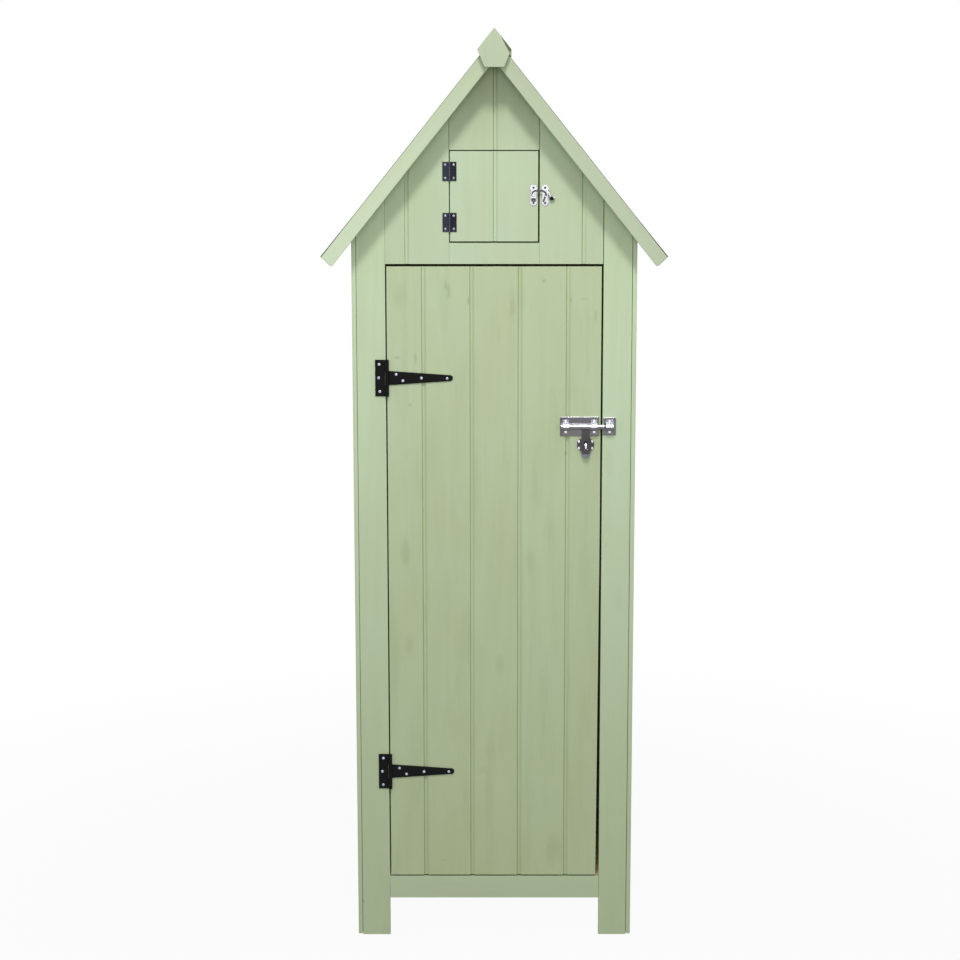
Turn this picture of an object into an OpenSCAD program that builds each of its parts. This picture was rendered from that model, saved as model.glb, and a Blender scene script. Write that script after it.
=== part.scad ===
// Narrow gabled tool shed: a boarded door on two T hinges, a fixed hatch in the gable,
// a steep felted roof with bargeboards, a ridge cap and end blocks, all on four corner legs.
// Millimetres, +Z up, front towards -Y, origin on the ground at the middle of the plan.

/* [Body] */
// Width over the corner boards
body_w = 547; // [460:1:700]
// Depth over the front and back faces
body_d = 430; // [340:1:700]
// Height of the roof boards' top face over the outside of a side wall
eaves_z = 1438; // [1150:1:1800]
// Thickness of the front and back boards and stiles
front_t = 12; // [9:0.5:20]
// Thickness of the side boards and corner boards
side_t = 9; // [8:0.5:18]
// Width of a front or back stile
stile_w = 55.2; // [45:0.1:75]
// Width of a corner board on the side
corner_w = 56; // [40:1:80]
// Height of the open legs under the bottom rails
leg_h = 78; // [50:1:140]
// Height of a bottom rail
sill_h = 48; // [40:1:70]

/* [Boards] */
// Spacing of the grooves on the door
door_board = 92.8; // [70:0.1:120]
// Start of the groove next to the middle of the door, measured from the centre line
door_groove_x = -47.9; // [-60:0.1:60]
// Spacing of the grooves on the walls and gables
wall_board = 84.7; // [60:0.1:120]
// Start of the groove next to the middle of a gable, measured from the centre line
wall_groove_x = -2.6; // [-40:0.1:40]
// Width of a groove at the face
groove_w = 9.5; // [6:0.5:14]
// Depth of a groove
groove_depth = 3; // [1:0.5:5]
// Width of the sloped side of a groove
groove_bevel = 4; // [2:0.5:6]
// Width of the steep side of a groove
groove_lip = 1.5; // [0.5:0.5:3]

/* [Door] */
// Drop from the eaves to the head of the doorway
head_drop = 85; // [60:1:120]
// Gap round the door
door_gap = 5; // [4:0.5:8]
// Width of a ledge on the back of the door
ledge_h = 60; // [40:1:90]
// Thickness of a ledge
ledge_t = 18; // [12:1:25]
// Ledges stop short of the door's edges by this much
ledge_inset = 24; // [15:1:60]

/* [Hatch] */
// Width of the hatch opening
hatch_w = 172.5; // [120:0.5:210]
// Height of the hatch opening
hatch_h = 176; // [120:1:210]
// Height of the plain board under the hatch
hatch_sill_h = 40; // [30:1:60]
// Gap beside the hatch on the hinge side
hatch_gap = 2; // [1:0.5:5]
// Gap beside the hatch on the latch side
hatch_gap_latch = 4; // [1:0.5:6]
// Gap over the hatch
hatch_gap_top = 3; // [1:0.5:6]
// Gap under the hatch
hatch_gap_foot = 4.5; // [1:0.5:6]
// Width of a ledge on the back of the hatch
hatch_ledge_h = 32; // [20:1:40]

/* [Roof] */
// Slope of the roof in degrees
roof_pitch = 51.3; // [42:0.1:62]
// Thickness of the roof boards
roof_t = 12; // [8:0.5:20]
// Thickness of the felt
felt_t = 1.5; // [1:0.5:4]
// How far the eaves stand out past a side wall
eave_over = 54; // [30:1:90]
// How far the roof boards stand out past the front and back
gable_over = 40; // [20:1:90]
// Width of a bargeboard
barge_w = 27; // [24:0.5:60]
// Thickness of a bargeboard
barge_t = 14; // [10:1:25]
// Lean of a bargeboard's lower end from square, in degrees
barge_lean = 6; // [0:0.5:15]
// Rounding of a bargeboard's lower end
barge_round = 5; // [1:0.5:8]
// Thickness of a ridge cap board
cap_t = 9.2; // [4:0.1:12]
// Reach of the left ridge cap board from the ridge, measured level to its plumb edge
cap_left = 26.5; // [20:0.5:60]
// Reach of the right ridge cap board, the wider of the two
cap_right = 32.5; // [20:0.5:60]
// Thickness of an end block on the ridge
block_t = 14; // [8:1:25]
// Half width of an end block at its shoulders
block_hw = 31.8; // [24:0.1:40]
// Half width of an end block at its foot
block_foot = 18.4; // [10:0.1:19]
// Height of an end block
block_h = 72.5; // [56:0.1:90]

/* [Frame inside] */
// Thickness of the inside rails and rafters
rail_t = 18; // [12:1:30]
// Height of an eaves rail and of the head rail
rail_h = 30; // [20:1:36]
// Width of a rafter across its slope
rafter_w = 28; // [20:1:40]
// Lap of the head rail on each stile
head_lap = 30; // [15:1:40]
// Thickness of the floor boards
floor_t = 12; // [8:0.5:20]
// Number of floor boards
floor_count = 5; // [3:1:8]
// Gap between floor boards
floor_gap = 4; // [2:0.5:8]

/* [T hinges] */
// Width of a hinge plate to the pin
plate_w = 23; // [18:0.5:34]
// Height of a hinge plate
plate_h = 71; // [50:1:100]
// Thickness of hinge plates and straps
hinge_t = 2; // [1.5:0.5:3]
// Radius of a knuckle
knuckle_r = 3.8; // [3.2:0.1:4.5]
// Radius of a hinge pin
pin_r = 2; // [1.5:0.1:2.5]
// Length of a strap from the pin
strap_len = 127; // [90:1:180]
// Width of a strap at the pin
strap_root = 28; // [20:1:36]
// Radius of a strap's round tip
strap_tip_r = 5.6; // [4:0.1:8]
// Drop from the top of the door to the upper hinge
hinge_top = 215; // [120:1:280]
// Rise from the bottom of the door to the lower hinge
hinge_bottom = 212.5; // [120:0.5:280]

/* [Padbolt] */
// Drop from the top of the door to the bolt
bolt_drop = 309.5; // [290:0.5:500]
// Length of the bolt's back plate
bolt_plate_l = 75.5; // [60:0.5:100]
// Height of the bolt's back plate
bolt_plate_h = 38; // [28:1:50]
// Thickness of the bolt's plates
bolt_plate_t = 1.5; // [1:0.5:3]
// Radius of the bar
bar_r = 5.5; // [4:0.1:7]
// Width of a guide
guide_w = 12; // [8:1:16]
// Wall of the guides and of the keep
guide_wall = 1.6; // [1.2:0.1:2.4]
// Width of the keep's plate
keep_w = 24.5; // [20:0.5:32]
// Width of the keep's bridge
keep_bridge = 15; // [10:1:18]
// Thickness of the flap
flap_t = 2.4; // [1.6:0.1:3]
// Drop from the bar to the padlock staple
staple_drop = 36; // [32:1:40]
// Radius of the padlock hole
staple_hole_r = 3.6; // [3:0.1:4.5]
// Thickness of the staple's lug
staple_t = 4.4; // [3:0.1:5]

/* [Hatch fittings] */
// Height of a hatch hinge
butt_h = 36; // [25:1:50]
// Width of a hatch hinge
butt_w = 27; // [20:1:36]
// Thickness of the hatch fittings
butt_t = 1.5; // [1:0.5:2.5]
// Radius of a hatch hinge's knuckle
butt_r = 2.4; // [1.8:0.1:3]
// Number of lengths in a hatch hinge's knuckle
butt_lengths = 5; // [3:2:7]
// Height of a latch plate
latch_h = 40; // [30:1:50]
// Width of a latch plate
latch_w = 14; // [10:1:18]
// Width of the latch's hook and lever
hook_w = 3.2; // [2:0.1:4]
// Thickness of the latch's hook and lever
hook_t = 2.6; // [1.5:0.1:3]

/* [Hidden] */
$fn = 48;
slip = 0.3;
rub = 0.08;
seat = 0.05;
hx = body_w / 2;
yf = -body_d / 2;
yb = body_d / 2;
slope = tan(roof_pitch);
ridge_z = eaves_z + hx * slope;
open_hw = hx - side_t - stile_w;
inside_hw = hx - side_t;
sill_z = leg_h + sill_h;
head_z = eaves_z - head_drop;
hatch_z = head_z + hatch_sill_h;
hatch_top = hatch_z + hatch_h;
eave_x = hx + eave_over;
roof_y = body_d / 2 + gable_over;
barge_y = roof_y + barge_t;
far = 2 * body_w;
door_x0 = -open_hw + door_gap;
door_x1 = open_hw - door_gap;
door_z0 = sill_z + door_gap;
door_z1 = head_z - door_gap;
hinge_x = -open_hw + door_gap / 2;
pin_y = yf - knuckle_r - slip;
upper_z = door_z1 - hinge_top;
lower_z = door_z0 + hinge_bottom;
strap_half = strap_root / 2;
bolt_z = door_z1 - bolt_drop;
bolt_x1 = door_x1 - 1.5;
bolt_x0 = bolt_x1 - bolt_plate_l;
bar_y = yf - bolt_plate_t - slip - bar_r;
guide_ri = bar_r + slip;
guide_ro = guide_ri + guide_wall;
guide_foot = bolt_plate_h / 2 - 6;
keep_x0 = open_hw + 1.6;
keep_mouth = keep_x0 + (keep_w - keep_bridge) / 2;
bar_x1 = keep_mouth - 2;
flap_x = bolt_x1 - 25.8;
staple_z = bolt_z - staple_drop;
lug_r = staple_hole_r + 3.4;
lug_y = bar_y - flap_t / 2 - staple_hole_r - 2 * slip;
knuckle_x = -hatch_w / 2 + hatch_gap / 2;
latch_z = hatch_z + hatch_h * 0.515;
latch_x = hatch_w / 2 - hatch_gap_latch - latch_w / 2 - 0.6;
keeper_x = hatch_w / 2 + latch_w / 2 + 3.5;
hook_reach = keeper_x - latch_x;
paint = [0.75, 0.82, 0.69];
pine = [0.82, 0.69, 0.49];
felt = [0.18, 0.19, 0.19];
black = [0.12, 0.12, 0.12];
chrome = [0.85, 0.86, 0.88];

// Height of the roof boards' top face, and of their underside, at a distance from the ridge
function top_z(x) = ridge_z - x * slope;
function under_z(x) = top_z(x) - (roof_t + seat) / cos(roof_pitch);

// Grooves that fall inside a run of boards
function starts(x0, x1, first, pitch) =
    [for (i = [-12:12]) let (x = first + i * pitch) if (x > x0 + groove_w && x < x1 - 2 * groove_w) x];

// A box between two corners
module span(a, b) {
    translate(a) cube(b - a);
}

// An outline in X and Z drawn out along Y
module along_y(y0, y1) {
    translate([0, y1, 0]) rotate([90, 0, 0]) linear_extrude(height = y1 - y0) children();
}

// An outline in Y and Z drawn out along X
module along_x(x0, x1) {
    translate([x0, 0, 0]) rotate([90, 0, 90]) linear_extrude(height = x1 - x0) children();
}

// Keeps what lies under the roof boards
module under_roof() {
    intersection() {
        children();
        along_y(-far, far)
            polygon([[-far, -1], [far, -1], [far, under_z(far)], [0, under_z(0)], [-far, under_z(far)]]);
    }
}

// Boards side by side, grooved on the face towards -Y
module boards(x0, x1, t, z0, z1, grooves) {
    translate([0, 0, z0]) linear_extrude(height = z1 - z0) difference() {
        translate([x0, 0]) square([x1 - x0, t]);
        for (x = grooves)
            translate([x, 0]) polygon([[0, -1], [groove_w, -1], [groove_w, 0],
                [groove_w - groove_bevel, groove_depth], [groove_lip, groove_depth], [0, 0]]);
    }
}

module stile(side, y0) {
    x0 = side < 0 ? -inside_hw : open_hw;
    color(paint) under_roof() span([x0, y0, 0], [x0 + stile_w, y0 + front_t, ridge_z]);
}

module corner_boards(side) {
    x0 = side < 0 ? -hx : inside_hw;
    color(paint) under_roof() {
        span([x0, yf, 0], [x0 + side_t, yf + corner_w, ridge_z]);
        span([x0, yb - corner_w, 0], [x0 + side_t, yb, ridge_z]);
    }
}

module sill(y0) {
    color(paint) span([-open_hw, y0, leg_h], [open_hw, y0 + front_t, sill_z]);
}

module side_wall(side) {
    run = body_d / 2 - corner_w;
    color(paint) under_roof() translate([side * hx, 0, 0]) rotate([0, 0, side * 90])
        boards(-run, run, side_t, leg_h, ridge_z, starts(-run, run, wall_groove_x, wall_board));
}

module back_wall() {
    color(paint) under_roof() translate([0, yb, 0]) rotate([0, 0, 180])
        boards(-open_hw, open_hw, front_t, sill_z, ridge_z,
            starts(-open_hw, open_hw, wall_groove_x, wall_board));
}

module front_run(x0, x1, z0, z1, first, pitch) {
    color(paint) under_roof() translate([0, yf, 0])
        boards(x0, x1, front_t, z0, z1, starts(x0, x1, first, pitch));
}

module floor_bearers() {
    color(pine) for (x0 = [-inside_hw, inside_hw - rail_t])
        span([x0, yf + front_t, leg_h], [x0 + rail_t, yb - front_t, sill_z - floor_t]);
}

module floor_boards() {
    run = body_d - 2 * front_t;
    each_w = (run - (floor_count - 1) * floor_gap) / floor_count;
    color(pine) for (i = [0:floor_count - 1]) {
        y0 = yf + front_t + i * (each_w + floor_gap);
        span([-inside_hw, y0, sill_z - floor_t], [inside_hw, y0 + each_w, sill_z]);
    }
}

module eaves_rails() {
    z0 = under_z(inside_hw) - rail_h;
    color(pine) under_roof() for (x0 = [-inside_hw, inside_hw - rail_t])
        span([x0, yf + front_t + rail_t, z0], [x0 + rail_t, yb - front_t - rail_t, ridge_z]);
}

module door_head_rail() {
    x1 = open_hw + head_lap;
    color(pine) span([-x1, yf + front_t, head_z], [x1, yf + front_t + rail_t, head_z + rail_h]);
}

module rafters(y0) {
    gap = 1;
    v = rafter_w / cos(roof_pitch);
    color(pine) along_y(y0, y0 + rail_t) for (s = [-1, 1])
        polygon([[s * gap, under_z(gap)], [s * inside_hw, under_z(inside_hw)],
            [s * inside_hw, under_z(inside_hw) - v], [s * gap, under_z(gap) - v]]);
}

module hatch_ledges() {
    half = hatch_w / 2 - 20;
    color(pine) for (f = [0.24, 0.76])
        span([-half, yf + front_t, hatch_z + f * hatch_h - hatch_ledge_h / 2],
            [half, yf + front_t + rail_t - 3, hatch_z + f * hatch_h + hatch_ledge_h / 2]);
}

// A butt hinge: two leaves either side of a knuckle made of short lengths on one pin
module hatch_hinges() {
    seam = 0.5;
    step = (butt_h + seam) / butt_lengths;
    color(black) for (f = [0.223, 0.771]) translate([knuckle_x, yf, hatch_z + f * hatch_h - butt_h / 2]) {
        span([-butt_w / 2, -butt_t, 0], [butt_w / 2, 0, butt_h]);
        translate([0, -butt_r, 0]) cylinder(r = butt_r - seam, h = butt_h);
        for (i = [0:butt_lengths - 1])
            translate([0, -butt_r, i * step]) cylinder(r = butt_r, h = step - seam);
    }
}

// A flat strip bent along a row of points, round at its ends and bends
module strip(points, w) {
    flat = w - 2 * seat;
    for (p = points) translate(p) circle(r = w / 2);
    for (i = [0:len(points) - 2]) {
        run = points[i + 1] - points[i];
        translate(points[i]) rotate(atan2(run[1], run[0])) translate([0, -flat / 2]) square([norm(run), flat]);
    }
}

module latch_plate() {
    round_r = latch_w / 2;
    reach = latch_h / 2 - round_r;
    along_y(-butt_t, 0) {
        square([latch_w, 2 * reach], center = true);
        for (z = [-reach, reach]) translate([0, z]) circle(r = round_r);
    }
}

// The hook's half of the latch: a plate with a staple, and the arched hook that turns on its boss
module hatch_latch() {
    boss_r = 3.4;
    boss_h = butt_t + 7.2;
    staple_w = 9;
    color(chrome) translate([latch_x, yf, latch_z]) {
        latch_plate();
        translate([0, 0, 1]) rotate([90, 0, 0]) cylinder(r = boss_r, h = boss_h);
        along_y(-boss_h, hook_t - boss_h)
            strip([[-2.5, 1], [-1.5, 6.5], [4, 9], [hook_reach - 5, 9], [hook_reach + 0.5, 5.5], [hook_reach + 2, 1]],
                hook_w);
        along_y(-butt_t - 4, -butt_t) difference() {
            translate([-staple_w / 2, -12]) square([staple_w, 7]);
            translate([-staple_w / 2 + 2, -10.2]) square([staple_w - 4, 3.4]);
        }
    }
}

// The keeper's half: a plate with a pivot, and the lever with its knob that locks the hook down
module hatch_keeper() {
    boss_r = 3;
    boss_h = butt_t + 4.2;
    knob = [17.5, -3.5];
    color(chrome) translate([keeper_x, yf, latch_z]) {
        latch_plate();
        rotate([90, 0, 0]) cylinder(r = boss_r, h = boss_h);
        along_y(-boss_h, hook_t - boss_h) {
            strip([[0, 0], [5.5, 7.8], [9.8, -1.6], [12.6, -4.5], knob], hook_w);
            strip([[0, 0], [-3.2, -11]], hook_w);
        }
        translate([knob[0], 0, knob[1]]) rotate([90, 0, 0]) cylinder(r = 2.2, h = boss_h + 2);
    }
}

// Cross-section of a layer that lies on a roof slope: from a height over the boards' top face
module slope_layer(lift, t, run_x) {
    px = sin(roof_pitch);
    pz = cos(roof_pitch);
    polygon([[0, ridge_z + lift / pz], [run_x + lift * px, top_z(run_x) + lift * pz],
        [run_x + (lift + t) * px, top_z(run_x) + (lift + t) * pz], [0, ridge_z + (lift + t) / pz]]);
}

module roof_boards(side) {
    color(paint) along_y(-roof_y, roof_y) scale([side, 1]) slope_layer(-roof_t, roof_t, eave_x);
}

module roof_felt(side) {
    color(felt) along_y(-barge_y, barge_y) scale([side, 1]) slope_layer(0, felt_t, eave_x);
}

module ridge_cap(side) {
    reach = side < 0 ? cap_left : cap_right;
    lift = (felt_t + seat) / cos(roof_pitch);
    rise = cap_t / cos(roof_pitch);
    color(paint) along_y(-barge_y, barge_y) scale([side, 1])
        polygon([[0, ridge_z + lift], [reach, top_z(reach) + lift],
            [reach, top_z(reach) + lift + rise], [0, ridge_z + lift + rise]]);
}

module bargeboard(side, y0) {
    longer = barge_w * tan(barge_lean);
    tip_x = eave_x - barge_w * sin(roof_pitch) + longer * cos(roof_pitch);
    tip_z = top_z(eave_x) - barge_w * cos(roof_pitch) - longer * sin(roof_pitch);
    color(paint) along_y(y0, y0 + barge_t) scale([side, 1]) difference() {
        polygon([[0, ridge_z - barge_w / cos(roof_pitch)], [tip_x, tip_z],
            [eave_x, top_z(eave_x)], [0, ridge_z]]);
        translate([tip_x, tip_z]) rotate(-roof_pitch) difference() {
            translate([-barge_round, -1]) square([barge_round + 1, barge_round + 1]);
            translate([seat - barge_round, barge_round - seat]) circle(r = barge_round);
        }
    }
}

// A five-sided block whose upper edges run with the ridge caps
module ridge_block(y0) {
    z1 = ridge_z + (felt_t + seat + cap_t) / cos(roof_pitch);
    shoulder = z1 - block_hw * slope;
    color(paint) along_y(y0, y0 + block_t) polygon([[0, z1], [block_hw, shoulder],
        [block_foot, z1 - block_h], [-block_foot, z1 - block_h], [-block_hw, shoulder]]);
}

// The fixed half of a T hinge: a leaf, two knuckles and the pin through them
module hinge_plate(z) {
    color(black) translate([hinge_x, 0, z]) {
        difference() {
            span([-plate_w, yf - hinge_t, -plate_h / 2], [0, yf, plate_h / 2]);
            span([-knuckle_r - 2 * slip, yf - hinge_t - 1, -strap_half - slip],
                [1, yf + 1, strap_half + slip]);
        }
        for (z0 = [-plate_h / 2, strap_half + slip])
            translate([0, pin_y, z0]) cylinder(r = knuckle_r, h = plate_h / 2 - strap_half - slip);
        translate([0, pin_y, -plate_h / 2]) cylinder(r = pin_r, h = plate_h);
    }
}

// The moving half of a T hinge: a tapered strap with a round tip and the middle knuckle
module hinge_strap(z) {
    tip_x = strap_len - strap_tip_r;
    color(black) translate([hinge_x, 0, z]) difference() {
        union() {
            along_y(yf - hinge_t, yf) {
                polygon([[0, -strap_half], [tip_x, -strap_tip_r], [tip_x, strap_tip_r], [0, strap_half]]);
                translate([tip_x, 0]) circle(r = strap_tip_r);
            }
            translate([0, pin_y, -strap_half]) cylinder(r = knuckle_r, h = strap_root);
        }
        translate([0, pin_y, -strap_half - 1]) cylinder(r = pin_r + rub, h = strap_root + 2);
        span([-plate_w, yf - slip, -strap_half - 1], [door_gap / 2, yf + 1, strap_half + 1]);
    }
}

// A bent strip that bridges the bolt's bar, with two feet on its plate
module bridge(x0, w) {
    back = bar_y - yf + bolt_plate_t;
    translate([0, yf, bolt_z]) along_x(x0, x0 + w) difference() {
        union() {
            intersection() {
                translate([bar_y - yf, 0]) circle(r = guide_ro);
                translate([bar_y - yf - guide_ro - 1, -guide_ro]) square([guide_ro + 1, 2 * guide_ro]);
            }
            translate([bar_y - yf, -guide_ro]) square([yf - bar_y, 2 * guide_ro]);
            translate([-bolt_plate_t - guide_wall, -guide_foot])
                square([bolt_plate_t + guide_wall, 2 * guide_foot]);
        }
        intersection() {
            translate([bar_y - yf, 0]) circle(r = guide_ri);
            translate([bar_y - yf - guide_ro - 1, -guide_ri]) square([guide_ro + 1, 2 * guide_ri]);
        }
        translate([bar_y - yf, -guide_ri]) square([-back, 2 * guide_ri]);
    }
}

module bolt_base() {
    half = bolt_plate_h / 2;
    color(chrome) {
        span([bolt_x0, yf - bolt_plate_t, bolt_z - half], [bolt_x1, yf, bolt_z + half]);
        bridge(bolt_x0 + 5, guide_w);
        bridge(bolt_x1 - 3.5 - guide_w, guide_w);
    }
}

module bolt_keep() {
    half = bolt_plate_h / 2 - 1.5;
    color(chrome) {
        span([keep_x0, yf - bolt_plate_t, bolt_z - half], [keep_x0 + keep_w, yf, bolt_z + half]);
        bridge(keep_mouth, keep_bridge);
    }
}

// The bar with the slotted flap that hangs from it over the staple
module bolt_bar() {
    drop = staple_drop;
    color(chrome) {
        translate([bolt_x0 + 1, bar_y, bolt_z]) rotate([0, 90, 0]) cylinder(r = bar_r, h = bar_x1 - bolt_x0 - 1);
        translate([flap_x, 0, bolt_z]) along_y(bar_y - flap_t / 2, bar_y + flap_t / 2) difference() {
            union() {
                polygon([[-8.5, 0], [-8.5, -7], [-7.2, -16], [-11, 4 - drop], [-11, -4 - drop], [-6.8, -18 - drop],
                    [6.8, -18 - drop], [11, -4 - drop], [11, 4 - drop], [7.2, -16], [8.5, -7], [8.5, 0]]);
                translate([0, -18 - drop]) circle(r = 7);
            }
            translate([0, -drop]) square([staple_t + 1.6, 2 * lug_r + 1.6], center = true);
        }
    }
}

module bolt_staple() {
    half_w = 16.5;
    half_h = 11;
    cut = 5;
    color(chrome) translate([flap_x, 0, staple_z]) {
        along_y(yf - bolt_plate_t, yf) polygon([[-half_w, -half_h + cut], [-half_w + cut, -half_h],
            [half_w - cut, -half_h], [half_w, -half_h + cut], [half_w, half_h - cut], [half_w - cut, half_h],
            [-half_w + cut, half_h], [-half_w, half_h - cut]]);
        along_x(-staple_t / 2, staple_t / 2) difference() {
            union() {
                translate([lug_y, 0]) circle(r = lug_r);
                translate([lug_y, -lug_r]) square([yf - lug_y, 2 * lug_r]);
            }
            translate([lug_y, 0]) circle(r = staple_hole_r);
        }
    }
}

stile(-1, yf);  // front_left_stile
stile(1, yf);  // front_right_stile
stile(-1, yb - front_t);  // back_left_stile
stile(1, yb - front_t);  // back_right_stile
corner_boards(-1);  // left_corner_boards
corner_boards(1);  // right_corner_boards
sill(yf);  // front_sill
sill(yb - front_t);  // back_sill
side_wall(-1);  // left_wall
side_wall(1);  // right_wall
back_wall();
floor_bearers();
floor_boards();
eaves_rails();
front_run(-open_hw, -hatch_w / 2, head_z, ridge_z, wall_groove_x, wall_board);  // gable_left_boards
front_run(hatch_w / 2, open_hw, head_z, ridge_z, wall_groove_x, wall_board);  // gable_right_boards
front_run(-hatch_w / 2, hatch_w / 2, hatch_top, ridge_z, wall_groove_x, wall_board);  // gable_top_boards
front_run(-hatch_w / 2, hatch_w / 2, head_z, hatch_z, far, wall_board);  // hatch_sill_board
door_head_rail();
rafters(yf + front_t);  // front_rafters
rafters(yb - front_t - rail_t);  // back_rafters
front_run(-hatch_w / 2 + hatch_gap, hatch_w / 2 - hatch_gap_latch, hatch_z + hatch_gap_foot,  // hatch_panel
        hatch_top - hatch_gap_top, wall_groove_x, wall_board);
hatch_ledges();
hatch_hinges();
hatch_latch();
hatch_keeper();
roof_boards(-1);  // left_roof_boards
roof_boards(1);  // right_roof_boards
roof_felt(-1);  // left_roof_felt
roof_felt(1);  // right_roof_felt
bargeboard(-1, -barge_y);  // front_left_bargeboard
bargeboard(1, -barge_y);  // front_right_bargeboard
bargeboard(-1, roof_y);  // back_left_bargeboard
bargeboard(1, roof_y);  // back_right_bargeboard
ridge_cap(-1);  // left_ridge_cap
ridge_cap(1);  // right_ridge_cap
ridge_block(-barge_y - block_t);  // front_ridge_block
ridge_block(barge_y);  // back_ridge_block
hinge_plate(upper_z);  // upper_hinge_plate
hinge_plate(lower_z);  // lower_hinge_plate
bolt_keep();
front_run(door_x0, door_x1, door_z0, door_z1, door_groove_x, door_board);  // door_boards
color(pine) for (z = [lower_z, (lower_z + upper_z) / 2, upper_z])  // door_ledges
        span([door_x0 + ledge_inset, yf + front_t, z - ledge_h / 2],
            [door_x1 - ledge_inset, yf + front_t + ledge_t, z + ledge_h / 2]);
hinge_strap(upper_z);  // upper_hinge_strap
hinge_strap(lower_z);  // lower_hinge_strap
bolt_base();
bolt_bar();
bolt_staple();
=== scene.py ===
"""Narrow gabled tool shed in sage paint: its pieces, finishes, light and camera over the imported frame."""

import logging
import math
import random
from contextlib import contextmanager
from dataclasses import dataclass
from enum import Enum
from functools import cache
from typing import Callable, ClassVar, Iterator, Optional, Sequence, Union

import bmesh
import bpy
from mathutils import Matrix, Vector


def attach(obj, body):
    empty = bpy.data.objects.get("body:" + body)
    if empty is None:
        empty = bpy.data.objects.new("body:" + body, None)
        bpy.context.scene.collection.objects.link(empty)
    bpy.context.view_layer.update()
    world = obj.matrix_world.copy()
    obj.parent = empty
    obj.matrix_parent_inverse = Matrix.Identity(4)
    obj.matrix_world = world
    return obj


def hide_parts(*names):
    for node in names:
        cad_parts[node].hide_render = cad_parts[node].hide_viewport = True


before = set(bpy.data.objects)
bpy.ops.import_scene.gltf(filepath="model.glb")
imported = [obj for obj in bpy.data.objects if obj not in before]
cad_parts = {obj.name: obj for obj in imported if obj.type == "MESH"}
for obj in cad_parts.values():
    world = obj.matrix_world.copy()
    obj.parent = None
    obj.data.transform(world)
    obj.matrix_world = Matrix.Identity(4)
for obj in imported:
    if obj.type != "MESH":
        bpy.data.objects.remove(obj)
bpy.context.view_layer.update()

Flat = tuple[float, float]
Solid = tuple[float, float, float]
Box = tuple[Solid, Solid]
Colour = tuple[float, float, float, float]
Piece = bpy.types.Object
Material = bpy.types.Material
Socket = bpy.types.NodeSocket
Outputs = bpy.types.NodeOutputs
FaceTest = Callable[[Vector, Vector], bool]

LOG = logging.getLogger("shed")
RNG = random.Random(41)
MM = 0.001  # a millimetre in metres
SMOOTH = math.radians(35.0)  # faces that meet at less than this are shaded as one
FOLD = 50.0  # degrees; the facets of a rounded outline meet at less
PLAIN = math.inf  # start of the grooves on a board that has none
WHITE: Colour = (1.0, 1.0, 1.0, 1.0)
SIDES = ((-1, "left"), (1, "right"))


class Plane(Enum):
    """Plane that an outline is drawn on; the outline is pulled out along the third axis."""

    XY = ((1, 0, 0), (0, 1, 0), (0, 0, 1))
    XZ = ((1, 0, 0), (0, 0, 1), (0, 1, 0))
    YZ = ((0, 1, 0), (0, 0, 1), (1, 0, 0))

    def at(self, a: float, b: float, c: float) -> Vector:
        """The point in metres with those three values, in millimetres, on the plane's axes."""
        u, v, w = (Vector(axis) for axis in self.value)
        return (u * a + v * b + w * c) * MM

    def out(self, length: float) -> Vector:
        """A step of that many millimetres off the plane."""
        return Vector(self.value[2]) * length * MM


class Way(Enum):
    """Direction that a board's fibres or a rod run in."""

    UP = (0.0, 0.0, 1.0)
    ACROSS = (1.0, 0.0, 0.0)
    DEEP = (0.0, 1.0, 0.0)


class Facing(Enum):
    """Side of the shed that a run of boards faces, as a turn about the upright axis."""

    FRONT = 0.0
    RIGHT = 90.0
    BACK = 180.0
    LEFT = -90.0


@dataclass(frozen=True)
class ShedSizes:
    """Sizes in millimetres that the sub-assemblies share, as in the part's source."""

    half_width: float = 273.5
    front: float = -215.0
    back: float = 215.0
    front_t: float = 12.0
    side_t: float = 9.0
    stile_w: float = 55.2
    corner_w: float = 56.0
    leg: float = 78.0
    sill_top: float = 126.0
    eaves: float = 1438.0
    pitch: float = math.radians(51.3)
    roof_t: float = 12.0
    felt_t: float = 1.5
    eave_x: float = 327.5
    roof_y: float = 255.0
    barge_t: float = 14.0
    open_half: float = 209.3
    head: float = 1353.0
    hatch_low: float = 1393.0
    hatch_high: float = 1569.0
    hatch_half: float = 86.25
    rail_t: float = 18.0
    wall_first: float = -2.6
    wall_pitch: float = 84.7
    play: float = 0.05

    @property
    def inside(self) -> float:
        """Half of the width between the side boards."""
        return self.half_width - self.side_t

    @property
    def inner_front(self) -> float:
        """Inner face of the front."""
        return self.front + self.front_t

    @property
    def inner_back(self) -> float:
        """Inner face of the back."""
        return self.back - self.front_t

    @property
    def barge_y(self) -> float:
        """Outer face of a bargeboard."""
        return self.roof_y + self.barge_t

    @property
    def slope(self) -> float:
        """Length of a roof slope."""
        return self.eave_x / math.cos(self.pitch)

    @property
    def ridge(self) -> float:
        """Height of the roof boards' top faces where they meet."""
        return self.eaves + self.half_width * math.tan(self.pitch)

    def under(self, x: float) -> float:
        """Height of the roof boards' underside at a distance from the middle."""
        return self.ridge - abs(x) * math.tan(self.pitch) - (self.roof_t + self.play) / math.cos(self.pitch)

    def down(self, side: int) -> Vector:
        """Direction down a slope."""
        return Vector((side * math.cos(self.pitch), 0.0, -math.sin(self.pitch)))


SHED = ShedSizes()


def srgb(red: int, green: int, blue: int) -> Colour:
    """A screen colour, 0 to 255 a channel, as the linear colour that a shader takes."""
    def linear(value: float) -> float:
        """One channel made linear."""
        value /= 255.0
        return value / 12.92 if value <= 0.04045 else ((value + 0.055) / 1.055) ** 2.4
    return linear(red), linear(green), linear(blue), 1.0


def metres(point: Sequence[float]) -> list[float]:
    """A place in millimetres as the metres that Blender takes."""
    return [v * MM for v in point]


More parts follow.
